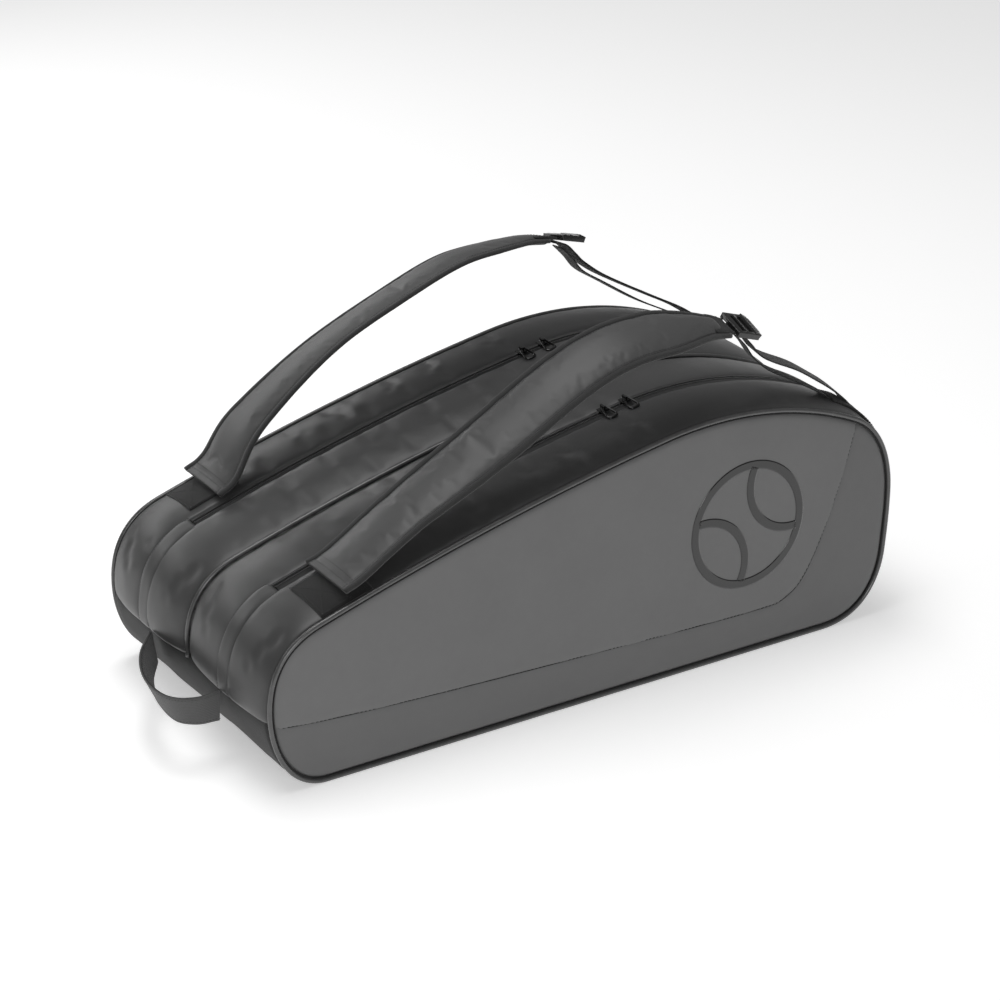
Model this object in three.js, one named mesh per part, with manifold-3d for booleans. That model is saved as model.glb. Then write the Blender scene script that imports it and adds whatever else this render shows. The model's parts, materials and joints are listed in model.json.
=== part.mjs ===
// Racket tournament bag: a two-compartment bag whose front and rear covers open on U-shaped zips and
// fold down at base-line height, with two padded shoulder straps and a carry handle. Millimetres, +Z up.
// +X is the racket-head end, -X the grip end, -Y the front. The origin is on the flat underside.
import * as THREE from 'three';
import { mergeVertices } from 'three/addons/utils/BufferGeometryUtils.js';
import Module from 'manifold-3d';

const wasm = await Module();
wasm.setup();

// ---------------------------------------------------------------- driving dimensions
const WIDTH = 352; // over the two outer pipings
const GAP = 0.4; // clearance between neighbouring pieces

// The side outline: flat base, round toes, a gently sloping back and a rounder crown.
const BASE_LINE = 80; // height where the base shell meets the gussets
const GRIP_END = -384; // x of the base line at the grip end
const GRIP_TOE = -320; // x where the flat base starts
const SLOPE_START = -325.5; // x where the sloping back starts
const SLOPE_RADIUS = 3000;
const CROWN_START = 85; // x where the slope turns into the crown
const CROWN_TOP = new THREE.Vector2(155, 286); // highest point of the outline
const CROWN_RADIUS = 411;
const CROWN_END = 332; // x where the head-end shoulder starts
const HEAD_BULGE = new THREE.Vector2(385, 145); // the point furthest out at the head end
const HEAD_END = 381.5; // x of the base line at the head end
const HEAD_TOE = 300; // x where the flat base ends

const PIPING_RADIUS = 2.5;
const SHEET = 2.5; // thickness of the padded gusset bands
const GUSSET_CROWN = 5; // how far the bands bulge past the outline, at the zips
const GUSSET_DIP = 7; // how far they fall from there to the pipings
const ZIP_Y = 88; // distance of each zip from the middle
const ZIP_GAP = 1; // half the space between the two half chains
const TAPE_WIDTH = 14;
const TAPE_LEVEL = 4.3; // outside of the zip tape, above the outline
const CHAIN = { width: 3, height: 1.6 };

const PANEL = { inset: 5.4, outer: 175, thickness: 1.6 };
const FOAM_THICKNESS = 6;
const LINING_THICKNESS = 1;

const STRAP_Y = 132; // distance of each shoulder strap from the middle
const PAD = { width: 75, thickness: 11, rootWidth: 84 };
const FACE_THICKNESS = 1;
const WEBBING = { width: 25, thickness: 2 };
const BUCKLE = { width: 44, length: 34, thickness: 6 };
const HANDLE = { width: 38, thickness: 2.4, height: 60 };

const SLIDER = { length: 11, width: 10, plate: 1.2, clearance: 1.5, web: 0.7 };
const PULL = { length: 21, width: 13, neck: 7, wire: 1.8, droop: THREE.MathUtils.degToRad(11) };

// ---------------------------------------------------------------- colours
const COLOURS = {
  panel: { color: 0x646464, roughness: 0.6 },
  lower: { color: 0x5c5c5c, roughness: 0.5 },
  gusset: { color: 0x454545, roughness: 0.5 },
  ripstop: { color: 0x2f2f2f, roughness: 0.8 },
  piping: { color: 0x2c2c2c, roughness: 0.25 },
  webbing: { color: 0x222222, roughness: 0.85 },
  strap: { color: 0x525252, roughness: 0.6 },
  foam: { color: 0x2e2e2e, roughness: 0.95 },
  lining: { color: 0x8d9094, roughness: 0.4 },
  board: { color: 0x1c1c1c, roughness: 0.7 },
  zip: { color: 0x161616, roughness: 0.5 },
  metal: { color: 0x0c0c0c, roughness: 0.2, metalness: 0.8 },
  plastic: { color: 0x121212, roughness: 0.25 },
  film: { color: 0x0a0a0a, roughness: 0.08 },
};

const bag = new THREE.Group();

function addPiece(name, geometry, colour) {
  const piece = new THREE.Mesh(geometry, new THREE.MeshStandardMaterial(COLOURS[colour]));
  piece.name = name;
  bag.add(piece);
  return piece;
}

// ---------------------------------------------------------------- sweeping a section along frames
// A frame has an origin and two unit directions: a section point (a, b) lies at
// origin + a * side + b * up. Sections run anticlockwise seen along the sweep.
function sweep(frames, sectionAt) {
  const sections = frames.map((_, i) => sectionAt(i / (frames.length - 1)));
  const sides = sections[0].length;
  const positions = [];
  frames.forEach((frame, i) => {
    for (const [a, b] of sections[i]) {
      const point = frame.origin.clone().addScaledVector(frame.side, a).addScaledVector(frame.up, b);
      positions.push(point.x, point.y, point.z);
    }
  });
  const index = [];
  for (let i = 0; i < frames.length - 1; i++) {
    const here = i * sides;
    const next = here + sides;
    for (let j = 0; j < sides; j++) {
      const k = (j + 1) % sides;
      index.push(here + j, here + k, next + k);
      index.push(here + j, next + k, next + j);
    }
  }
  addCap(index, sections[0], 0, true);
  addCap(index, sections.at(-1), (frames.length - 1) * sides, false);
  const geometry = new THREE.BufferGeometry();
  geometry.setAttribute('position', new THREE.Float32BufferAttribute(positions, 3));
  geometry.setIndex(index);
  geometry.computeVertexNormals();
  return geometry;
}

function addCap(index, section, first, reversed) {
  const contour = section.map(([a, b]) => new THREE.Vector2(a, b));
  for (const [p, q, r] of THREE.ShapeUtils.triangulateShape(contour, [])) {
    const corners = reversed ? [r, q, p] : [p, q, r];
    index.push(...corners.map((corner) => first + corner));
  }
}

const constant = (section) => () => section;

// A section drawn for the front, turned into the same section for the rear.
const mirrored = (section) => section.map(([a, b]) => [-a, b]).reverse();
const forSide = (side, section) => (side < 0 ? section : mirrored(section));

function rectangle(a0, a1, b0, b1) {
  return [[a0, b0], [a1, b0], [a1, b1], [a0, b1]];
}

function round(centreA, centreB, radius, corners = 8) {
  return Array.from({ length: corners }, (_, i) => {
    const angle = ((i + 0.5) * 2 * Math.PI) / corners;
    return [centreA + radius * Math.cos(angle), centreB + radius * Math.sin(angle)];
  });
}

// A flat strip with chamfered edges, split along the middle so that it can twist.
function strip(width, thickness, chamfer, level = 0) {
  const w = width / 2;
  const low = level - thickness / 2;
  const high = level + thickness / 2;
  return [
    [-w + chamfer, low], [0, low], [w - chamfer, low], [w, low + chamfer], [w, high - chamfer],
    [w - chamfer, high], [0, high], [-w + chamfer, high], [-w, high - chamfer], [-w, low + chamfer],
  ];
}

// ---------------------------------------------------------------- the side outline
const vec = (x, z) => new THREE.Vector2(x, z);

const CROWN_CENTRE = vec(CROWN_TOP.x, CROWN_TOP.y - CROWN_RADIUS);
const CROWN_ANGLE = Math.acos((CROWN_START - CROWN_CENTRE.x) / CROWN_RADIUS);
const SLOPE_CENTRE = CROWN_CENTRE.clone().add(
  vec(Math.cos(CROWN_ANGLE), Math.sin(CROWN_ANGLE)).multiplyScalar(CROWN_RADIUS - SLOPE_RADIUS),
);

const angleOnArc = (centre, radius, x) => Math.acos((x - centre.x) / radius);

function arc(centre, radius, fromX, toX) {
  const from = angleOnArc(centre, radius, fromX);
  const to = angleOnArc(centre, radius, toX);
  return new THREE.EllipseCurve(centre.x, centre.y, radius, radius, from, to, true);
}

const slope = arc(SLOPE_CENTRE, SLOPE_RADIUS, SLOPE_START, CROWN_START);
const crown = arc(CROWN_CENTRE, CROWN_RADIUS, CROWN_START, CROWN_END);

// A cubic between two points, leaving and arriving along two given directions.
function corner(from, leave, leaveLength, to, arrive, arriveLength) {
  const first = from.clone().addScaledVector(leave, leaveLength);
  const second = to.clone().addScaledVector(arrive, -arriveLength);
  return new THREE.CubicBezierCurve(from, first, second, to);
}

const UP_GRIP = vec(-0.08, 1).normalize(); // the grip end leans out a little at the base line
const DOWN_HEAD = vec(-0.08, -1).normalize();
const TOWARDS_GRIP = vec(-1, 0);
const gripBase = vec(GRIP_END, BASE_LINE);
const headBase = vec(HEAD_END, BASE_LINE);

const gripShoulder = corner(gripBase, UP_GRIP, 52, slope.getPoint(0), slope.getTangent(0), 44);
const headShoulder = corner(crown.getPoint(1), crown.getTangent(1), 38, HEAD_BULGE, vec(0, -1), 48);
const headFlank = corner(HEAD_BULGE, vec(0, -1), 25, headBase, DOWN_HEAD, 18);
const headToe = corner(headBase, DOWN_HEAD, 40, vec(HEAD_TOE, 0), TOWARDS_GRIP, 55);
const base = new THREE.LineCurve(vec(HEAD_TOE, 0), vec(GRIP_TOE, 0));
const gripToe = corner(vec(GRIP_TOE, 0), TOWARDS_GRIP, 38, gripBase, UP_GRIP, 42);

// Frames along consecutive curves: side is +Y and up points out of the bag.
function framesAlong(curves) {
  const frames = [];
  curves.forEach(([curve, count], which) => {
    for (let i = which === 0 ? 0 : 1; i <= count; i++) {
      const point = curve.getPoint(i / count);
      const tangent = curve.getTangent(i / count);
      frames.push({
        origin: new THREE.Vector3(point.x, 0, point.y),
        side: new THREE.Vector3(0, 1, 0),
        up: new THREE.Vector3(-tangent.y, 0, tangent.x),
      });
    }
  });
  return frames;
}

// The same frames with both ends drawn back, to leave a gap to the next piece.
function drawnBack(frames, gap = GAP) {
  const result = frames.map((frame) => ({ ...frame, origin: frame.origin.clone() }));
  const ends = [[0, 1], [result.length - 1, -1]];
  for (const [i, sign] of ends) {
    const tangent = result[i].side.clone().cross(result[i].up);
    result[i].origin.addScaledVector(tangent, sign * gap);
  }
  return result;
}

const overTop = drawnBack(
  framesAlong([[gripShoulder, 9], [slope, 5], [crown, 8], [headShoulder, 6], [headFlank, 3]]), GAP / 2,
);
const underBase = drawnBack(framesAlong([[headToe, 8], [base, 1], [gripToe, 8]]), GAP / 2);
const zipRun = drawnBack(framesAlong([[slope, 5], [crown, 8], [headShoulder, 6]]), GAP / 2);
const gripStripRun = drawnBack(framesAlong([[gripShoulder, 9]]), GAP / 2);
const headStripRun = drawnBack(framesAlong([[headFlank, 3]]), GAP / 2);
const wholeOutline = framesAlong([
  [gripShoulder, 9], [slope, 5], [crown, 8], [headShoulder, 6], [headFlank, 3],
  [headToe, 8], [base, 1], [gripToe, 8],
]).slice(0, -1);

function outlineShape(inset) {
  const points = wholeOutline.map(({ origin, up }) => vec(origin.x - inset * up.x, origin.z - inset * up.z));
  return new THREE.Shape(points.reverse());
}

// A flat plate whose shape is drawn in x and z, between two values of y.
function plate(shape, y0, y1) {
  const geometry = new THREE.ExtrudeGeometry(shape, {
    depth: Math.abs(y1 - y0), bevelEnabled: false, curveSegments: 10,
  });
  geometry.rotateX(Math.PI / 2);
  geometry.translate(0, Math.max(y0, y1), 0);
  return geometry;
}

// ---------------------------------------------------------------- boolean work
function toSolid(geometry) {
  const bare = geometry.clone();
  bare.deleteAttribute('normal');
  bare.deleteAttribute('uv');
  const merged = mergeVertices(bare, 1e-4);
  return new wasm.Manifold(new wasm.Mesh({
    numProp: 3,
    vertProperties: new Float32Array(merged.attributes.position.array),
    triVerts: new Uint32Array(merged.index.array),
  }));
}

function toGeometry(solid) {
  const mesh = solid.getMesh();
  const geometry = new THREE.BufferGeometry();
  geometry.setAttribute('position', new THREE.BufferAttribute(mesh.vertProperties, 3));
  geometry.setIndex(new THREE.BufferAttribute(mesh.triVerts, 1));
  geometry.computeVertexNormals();
  return geometry;
}

const joined = (...geometries) => toGeometry(
  geometries.map(toSolid).reduce((whole, next) => whole.add(next)),
);

// ---------------------------------------------------------------- fixed body
const bandLevel = (y) => GUSSET_CROWN - GUSSET_DIP * ((Math.abs(y) - ZIP_Y) / (WIDTH / 2 - ZIP_Y)) ** 2;

// A section that follows the crowned bands between two values of y, on the front half.
function crownedSection(yFrom, yTo, low, high, steps = 3) {
  const ys = Array.from({ length: steps + 1 }, (_, i) => THREE.MathUtils.lerp(yFrom, yTo, i / steps));
  const under = ys.map((y) => [y, bandLevel(y) + low]);
  const over = ys.map((y) => [y, bandLevel(y) + high]).reverse();
  return [...under, ...over];
}

const PIPING_INNER = WIDTH / 2 - 2 * PIPING_RADIUS - GAP; // outer edge of the bands
const BAND_TO_ZIP = TAPE_WIDTH + GAP;

function addBase() {
  const shell = rectangle(-PIPING_INNER, PIPING_INNER, -SHEET, 0);
  addPiece('base_shell', sweep(underBase, constant(shell)), 'ripstop');
  const board = new THREE.BoxGeometry(HEAD_TOE - GRIP_TOE - 30, 2 * PIPING_INNER - 16, 2);
  board.translate((HEAD_TOE + GRIP_TOE) / 2, 0, SHEET + GAP + 1);
  addPiece('base_board', board, 'board');
}

function addDivider() {
  addPiece('centre_divider', plate(outlineShape(PANEL.inset + GAP), -2, 2), 'lining');
  const piping = round(0, -1, PIPING_RADIUS);
  addPiece('centre_piping', sweep(overTop, constant(piping)), 'piping');
}

function halfZip(inner, outer) {
  const away = Math.sign(outer - inner);
  const chainEdge = inner + away * CHAIN.width;
  const section = [
    [inner, TAPE_LEVEL - 1], [outer, TAPE_LEVEL - 1], [outer, TAPE_LEVEL], [chainEdge, TAPE_LEVEL],
    [chainEdge, TAPE_LEVEL + CHAIN.height], [inner, TAPE_LEVEL + CHAIN.height],
  ];
  return away > 0 ? section : section.reverse();
}

function addInnerBand(name, side) {
  const band = crownedSection(-(ZIP_Y - BAND_TO_ZIP), -(PIPING_RADIUS + GAP), -SHEET, 0);
  addPiece(`${name}_inner_gusset`, sweep(overTop, constant(forSide(side, band))), 'gusset');
  const tape = halfZip(-(ZIP_Y - ZIP_GAP), -(ZIP_Y - TAPE_WIDTH));
  addPiece(`${name}_zip_inner_tape`, sweep(zipRun, constant(forSide(side, tape))), 'zip');
  const stripHalf = TAPE_WIDTH - GAP;
  const cover = rectangle(-(ZIP_Y + stripHalf), -(ZIP_Y - stripHalf), TAPE_LEVEL - 1, TAPE_LEVEL + 0.6);
  const section = constant(forSide(side, cover));
  addPiece(`${name}_grip_end_strip`, sweep(gripStripRun, section), 'gusset');
  addPiece(`${name}_head_end_strip`, sweep(headStripRun, section), 'gusset');
}

function addGrabTab() {
  const start = HEAD_BULGE.x + TAPE_LEVEL + 1;
  const tab = new THREE.Shape([
    vec(start, 134), vec(start + 5, 132), vec(start + 12, 128), vec(start + 12, 131),
    vec(start + 5, 135), vec(start, 137),
  ]);
  addPiece('zip_grab_tab', plate(tab, -ZIP_Y - 7, -ZIP_Y + 7), 'webbing');
}

// ---------------------------------------------------------------- covers
// The seam between the main panel and the lower panel, from the grip end to the top edge.
function seamPoints(shift) {
  const seam = new THREE.SplineCurve([
    vec(-400, 78), vec(-330, 72), vec(-200, 64), vec(0, 56), vec(200, 50), vec(248, 57),
    vec(276, 88), vec(310, 168), vec(352, 300),
  ]);
  const count = 36;
  return Array.from({ length: count + 1 }, (_, i) => {
    const tangent = seam.getTangent(i / count);
    return seam.getPoint(i / count).add(vec(-tangent.y, tangent.x).multiplyScalar(shift));
  });
}

function aboveSeam(shift) {
  return new THREE.Shape([...seamPoints(shift), vec(-400, 400)]);
}

// Everything above or below the fold, the line at base-line height that the cover turns about.
function beyondFold(above) {
  const size = 2 * WIDTH + 2 * HEAD_BULGE.x;
  const block = new THREE.BoxGeometry(size, size, size);
  const shift = (size + GAP) / 2;
  block.translate(0, 0, BASE_LINE + (above ? shift : -shift));
  return toSolid(block);
}

// The panel, foam and lining above the fold belong to the cover. Those below stay with the base.
function addPanels(name, side) {
  const outer = side * PANEL.outer;
  const inner = side * (PANEL.outer - PANEL.thickness);
  const reach = side * 5;
  const blank = toSolid(plate(outlineShape(PANEL.inset), outer, inner));
  const pastSeam = (shift) => toSolid(plate(aboveSeam(shift), outer + reach, inner - reach));
  const cover = blank.intersect(beyondFold(true));
  addPiece(`${name}_main_panel`, toGeometry(cover.intersect(pastSeam(GAP / 2))), 'panel');
  addPiece(`${name}_head_panel`, toGeometry(cover.subtract(pastSeam(-GAP / 2))), 'lower');
  addPiece(`${name}_lower_panel`, toGeometry(blank.intersect(beyondFold(false))), 'lower');

  const foamOuter = PANEL.outer - PANEL.thickness - GAP;
  const foamInner = foamOuter - FOAM_THICKNESS;
  const foam = toSolid(plate(outlineShape(PANEL.inset), side * foamOuter, side * foamInner));
  addPiece(`${name}_foam`, toGeometry(foam.intersect(beyondFold(true))), 'foam');
  addPiece(`${name}_lower_foam`, toGeometry(foam.intersect(beyondFold(false))), 'foam');
  const liningOuter = foamInner - GAP;
  const liningInner = liningOuter - LINING_THICKNESS;
  const lining = toSolid(plate(outlineShape(PANEL.inset + 1), side * liningOuter, side * liningInner));
  addPiece(`${name}_lining`, toGeometry(lining.intersect(beyondFold(true))), 'lining');
}

function addCoverBand(name, side) {
  const band = crownedSection(-PIPING_INNER, -(ZIP_Y + BAND_TO_ZIP), -SHEET, 0);
  addPiece(`${name}_outer_gusset`, sweep(overTop, constant(forSide(side, band))), 'gusset');
  const tape = halfZip(-(ZIP_Y + ZIP_GAP), -(ZIP_Y + TAPE_WIDTH));
  addPiece(`${name}_zip_outer_tape`, sweep(zipRun, constant(forSide(side, tape))), 'zip');
  const cornerRadius = PIPING_RADIUS / Math.cos(Math.PI / 8);
  const piping = constant(forSide(side, round(-(WIDTH / 2 - PIPING_RADIUS), -PIPING_RADIUS, cornerRadius)));
  addPiece(`${name}_piping`, sweep(overTop, piping), 'piping');
  addPiece(`${name}_lower_piping`, sweep(underBase, piping), 'piping');
}

// Where each shoulder strap is sewn on: a webbing patch at the grip end, which rises to the pad's end at
// rootEnd, and a folded tab at the head end.
const PATCH = { from: -323, to: -290, thickness: 1.5, zipSide: 110.5 };
const TAB = { from: 320, thickness: 2.5, narrow: 15, wide: 33 };

function addStrapAnchors(name, side, rootEnd) {
  const patchArc = arc(SLOPE_CENTRE, SLOPE_RADIUS, PATCH.from, PATCH.to);
  const lift = GUSSET_CROWN + PATCH.thickness;
  const rise = corner(
    patchArc.getPoint(1), patchArc.getTangent(1), 10,
    vec(...rootEnd).add(vec(0, -lift)), vec(1, 1).normalize(), 10,
  );
  const patch = crownedSection(-PIPING_INNER + 1, -PATCH.zipSide, GAP, GAP + PATCH.thickness);
  const run = framesAlong([[patchArc, 1], [rise, 4]]);
  addPiece(`${name}_strap_patch`, sweep(run, constant(forSide(side, patch))), 'webbing');

  const tabRun = framesAlong([[arc(CROWN_CENTRE, CROWN_RADIUS, TAB.from, CROWN_END), 1], [headShoulder, 6]]);
  const tabSection = (t) => {
    const half = THREE.MathUtils.lerp(TAB.narrow, TAB.wide, t);
    const section = crownedSection(-STRAP_Y - half, -STRAP_Y + Math.min(half, 28), GAP, GAP + TAB.thickness);
    return forSide(side, section);
  };
  addPiece(`${name}_strap_tab`, sweep(tabRun.slice(0, 6), tabSection), 'ripstop');
}

// A plain ball emblem: a ring with the two curved seams of a ball.
const EMBLEM = { x: 190, z: 156, radius: 73, line: 10, thickness: 0.5 };

function addEmblem() {
  const { x, z, radius, line } = EMBLEM;
  const inner = radius - line;
  const shape = new THREE.Shape().absarc(x, z, radius, 0, 2 * Math.PI);
  const seamReach = inner * 1.12; // distance of each seam's centre from the ball's
  const seamRadius = inner * 0.88;
  const apart = (r) => Math.acos((inner ** 2 + seamReach ** 2 - r ** 2) / (2 * inner * seamReach));
  const bend = (r) => Math.acos((r ** 2 + seamReach ** 2 - inner ** 2) / (2 * r * seamReach));
  const turn = THREE.MathUtils.degToRad(35);
  const near = seamRadius - line / 2;
  const far = seamRadius + line / 2;
  for (const way of [turn, turn + Math.PI]) {
    const lens = new THREE.Path();
    lens.absarc(x, z, inner, way - apart(near), way + apart(near), false);
    const cx = x + seamReach * Math.cos(way);
    const cz = z + seamReach * Math.sin(way);
    lens.absarc(cx, cz, near, way + Math.PI - bend(near), way + Math.PI + bend(near), false);
    shape.holes.push(lens);
  }
  const middle = new THREE.Path();
  for (const way of [turn, turn + Math.PI]) {
    const cx = x + seamReach * Math.cos(way);
    const cz = z + seamReach * Math.sin(way);
    middle.absarc(cx, cz, far, way + Math.PI + bend(far), way + Math.PI - bend(far), true);
    middle.absarc(x, z, inner, way + apart(far), way + Math.PI - apart(far), false);
  }
  shape.holes.push(middle);
  const back = -(PANEL.outer + GAP / 2);
  addPiece('front_emblem', plate(shape, back, back - EMBLEM.thickness), 'film');
}

// ---------------------------------------------------------------- shoulder straps
// Centre lines in x and z, from the grip-end anchor over the arch. The roll tips the outer edge down.
const STRAPS = {
  front: {
    side: -1,
    roll: THREE.MathUtils.degToRad(16),
    root: [-264, 219],
    pad: [[-260, 223], [-206, 251], [-112, 299], [-17, 351], [45, 373], [100, 377], [148, 374]],
    tab: [[149, 374], [172, 371], [192, 363]],
    buckle: [196, 361, 214, 345],
    webbing: [[219, 334], [240, 319], [280, 297], [318, 274], [342, 255]],
    tail: [[216, 330], [240, 310], [280, 288], [312, 270]],
  },
  rear: {
    side: 1,
    roll: THREE.MathUtils.degToRad(14),
    root: [-275, 225],
    pad: [[-272, 230], [-245, 266], [-149, 325], [-51, 368], [10, 389], [55, 394], [100, 394]],
    tab: [[101, 394], [124, 393], [144, 389]],
    buckle: [148, 387, 168, 371],
    webbing: [[175, 361], [206, 338], [260, 304], [310, 276], [342, 255]],
    tail: [[172, 356], [206, 328], [255, 298], [300, 270]],
  },
};

const steady = () => 1;
const growing = (t) => THREE.MathUtils.smoothstep(t, 0, 0.5); // no roll where the pad is sewn on

function strapFrames(points, side, roll, count, share = steady) {
  const curve = new THREE.CatmullRomCurve3(points.map(([x, z]) => new THREE.Vector3(x, side * STRAP_Y, z)));
  return Array.from({ length: count + 1 }, (_, i) => {
    const tangent = curve.getTangentAt(i / count);
    const angle = -side * roll * share(i / count);
    const across = new THREE.Vector3(0, 1, 0).applyAxisAngle(tangent, angle);
    return { origin: curve.getPointAt(i / count), side: across, up: tangent.clone().cross(across) };
  });
}

function addStrap(name, { side, roll, pad, tab, buckle, webbing, tail }) {
  const padFrames = strapFrames(pad, side, roll, 22, growing);
  const padWidth = (t) => THREE.MathUtils.lerp(PAD.rootWidth, PAD.width, Math.min(1, t * 5));
  addPiece(`${name}_strap_pad`, sweep(padFrames, (t) => strip(padWidth(t), PAD.thickness, 3)), 'foam');
  const faceLevel = (PAD.thickness + FACE_THICKNESS) / 2 + 2 * GAP;
  const face = (t) => strip(padWidth(t) - 14, FACE_THICKNESS, 0.3, faceLevel);
  addPiece(`${name}_strap_face`, sweep(padFrames, face), 'strap');

  const tabWidth = (t) => THREE.MathUtils.lerp(PAD.width - 8, WEBBING.width + 3, t);
  const tabFrames = drawnBack(strapFrames(tab, side, roll, 5));
  addPiece(`${name}_strap_end_tab`, sweep(tabFrames, (t) => strip(tabWidth(t), 3.5, 0.8)), 'ripstop');
  addBuckle(name, side, roll, buckle);
  const flat = constant(strip(WEBBING.width, WEBBING.thickness, 0.4));
  addPiece(`${name}_strap_webbing`, sweep(strapFrames(webbing, side, roll / 2, 12), flat), 'webbing');
  const thin = constant(strip(WEBBING.width - 7, 1.2, 0.3, -2));
  addPiece(`${name}_strap_tail`, sweep(strapFrames(tail, side, roll / 2, 8), thin), 'webbing');
}

// A ladder lock: a plate with two slots and a lifting lip on its lower edge.
function addBuckle(name, side, roll, [x0, z0, x1, z1]) {
  const { width, length, thickness } = BUCKLE;
  const outline = new THREE.Shape();
  const w = width / 2;
  const l = length / 2;
  const cut = 5;
  outline.setFromPoints([
    vec(-l, -w + cut), vec(-l + cut, -w), vec(l - cut, -w), vec(l, -w + cut),
    vec(l, w - cut), vec(l - cut, w), vec(-l + cut, w), vec(-l, w - cut),
  ]);
  const slots = [[-l / 2 + 1, w - 7], [l / 3, w - 8.5]];
  for (const [centre, slotHalf] of slots) {
    const slot = [
      vec(centre - 1.8, -slotHalf), vec(centre + 1.8, -slotHalf), vec(centre + 1.8, slotHalf),
      vec(centre - 1.8, slotHalf),
    ];
    outline.holes.push(new THREE.Path(slot));
  }
  const body = new THREE.ExtrudeGeometry(outline, { depth: thickness, bevelEnabled: false });
  body.translate(0, 0, -thickness / 2);
  const lip = new THREE.BoxGeometry(5, WEBBING.width, 4);
  lip.translate(l - 4, 0, thickness / 2 + 1.5);
  const buckle = addPiece(`${name}_strap_buckle`, joined(body, lip), 'plastic');
  const tangent = new THREE.Vector3(x1 - x0, 0, z1 - z0).normalize();
  const across = new THREE.Vector3(0, 1, 0).applyAxisAngle(tangent, -side * roll);
  const up = tangent.clone().cross(across);
  const start = new THREE.Vector3(x0, side * STRAP_Y, z0);
  const centre = start.addScaledVector(tangent, l);
  buckle.quaternion.setFromRotationMatrix(new THREE.Matrix4().makeBasis(tangent, across, up));
  buckle.position.copy(centre);
}

// ---------------------------------------------------------------- zip sliders and ring pulls
const CHAIN_TOP = TAPE_LEVEL + CHAIN.height;
const PLATE_LOW = CHAIN_TOP + SLIDER.clearance;
const PLATE_HIGH = PLATE_LOW + SLIDER.plate;
const PIVOT_HEIGHT = PLATE_HIGH + 2.3;
const BRIDGE = { half: 3.8, post: 1, thick: 1, halfWidth: 1.1, hole: 3.6 };

function sliderBody() {
  const w = SLIDER.width / 2;
  const web = SLIDER.web / 2;
  const under = TAPE_LEVEL - 1 - SLIDER.clearance;
  const section = [
    [-w, under - SLIDER.plate], [w, under - SLIDER.plate], [w, under], [web, under],
    [web, PLATE_LOW], [w, PLATE_LOW], [w, PLATE_HIGH], [-w, PLATE_HIGH],
    [-w, PLATE_LOW], [-web, PLATE_LOW], [-web, under], [-w, under],
  ];
  const frame = (x) => ({
    origin: new THREE.Vector3(x, 0, 0), side: new THREE.Vector3(0, 1, 0), up: new THREE.Vector3(0, 0, 1),
  });
  const body = sweep([frame(-SLIDER.length / 2), frame(SLIDER.length / 2)], constant(section));
  const { half, post, thick, halfWidth, hole } = BRIDGE;
  const top = PLATE_HIGH + hole + thick;
  const bridge = new THREE.Shape([
    vec(-half, PLATE_HIGH - 0.2), vec(-half + post, PLATE_HIGH - 0.2), vec(-half + post, top - thick),
    vec(half - post, top - thick), vec(half - post, PLATE_HIGH - 0.2), vec(half, PLATE_HIGH - 0.2),
    vec(half, top), vec(-half, top),
  ]);
  const arch = plate(bridge, -halfWidth, halfWidth);
  arch.rotateZ(Math.PI / 2);
  return joined(body, arch);
}

// The pull lies in x and y with its pivot bar at the origin, pointing to -Y.
function pullRing() {
  const { length, width, neck, wire } = PULL;
  const ring = (inset) => {
    const n = neck / 2 - inset;
    const w = width / 2 - inset;
    const end = wire / 2 - length + inset;
    const start = wire / 2 - inset;
    return [
      vec(-n, start), vec(-n - 0.3, start - 3), vec(-w, end + 4), vec(-w + 1.2, end + 1.2), vec(-w + 4, end),
      vec(w - 4, end), vec(w - 1.2, end + 1.2), vec(w, end + 4), vec(n + 0.3, start - 3), vec(n, start),
    ];
  };
  const shape = new THREE.Shape(ring(0));
  shape.holes.push(new THREE.Path(ring(wire)));
  const geometry = new THREE.ExtrudeGeometry(shape, { depth: wire, bevelEnabled: false });
  geometry.translate(0, 0, -wire / 2);
  return geometry;
}

function addSlider(name, side, x) {
  const [centre, radius] = x < CROWN_START ? [SLOPE_CENTRE, SLOPE_RADIUS] : [CROWN_CENTRE, CROWN_RADIUS];
  const turn = Math.PI / 2 - angleOnArc(centre, radius, x);
  const place = new THREE.Group();
  place.position.set(x, side * ZIP_Y, centre.y + radius * Math.cos(turn));
  place.rotation.y = turn;
  place.add(addPiece(`${name}_slider`, sliderBody(), 'metal'));
  const pull = addPiece(`${name}_pull`, pullRing(), 'metal');
  pull.position.z = PIVOT_HEIGHT;
  pull.rotation.x = PULL.droop;
  place.add(pull);
  bag.add(place);
}

// ---------------------------------------------------------------- carry handle
function addCarryHandle() {
  const route = [[-391, -76], [-424, -71], [-446, -48], [-444, -8], [-424, 34], [-391, 72]];
  const curve = new THREE.CatmullRomCurve3(route.map(([x, y]) => new THREE.Vector3(x, y, HANDLE.height)));
  const count = 18;
  const frames = Array.from({ length: count + 1 }, (_, i) => {
    const tangent = curve.getTangentAt(i / count);
    const side = new THREE.Vector3(0, 0, 1);
    return { origin: curve.getPointAt(i / count), side, up: tangent.clone().cross(side) };
  });
  const section = strip(HANDLE.width, HANDLE.thickness, 0.5);
  addPiece('carry_handle', sweep(frames, constant(section)), 'webbing');
}

// ---------------------------------------------------------------- the whole bag
addBase();
addDivider();
addGrabTab();
addCarryHandle();
addEmblem();
for (const [name, strap] of Object.entries(STRAPS)) {
  addInnerBand(name, strap.side);
  addPanels(name, strap.side);
  addCoverBand(name, strap.side);
  addStrapAnchors(name, strap.side, strap.root);
  addStrap(name, strap);
}
addSlider('front_grip_side', -1, 66);
addSlider('front_head_side', -1, 93);
addSlider('rear_grip_side', 1, 78);
addSlider('rear_head_side', 1, 104);

export default bag;
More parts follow.
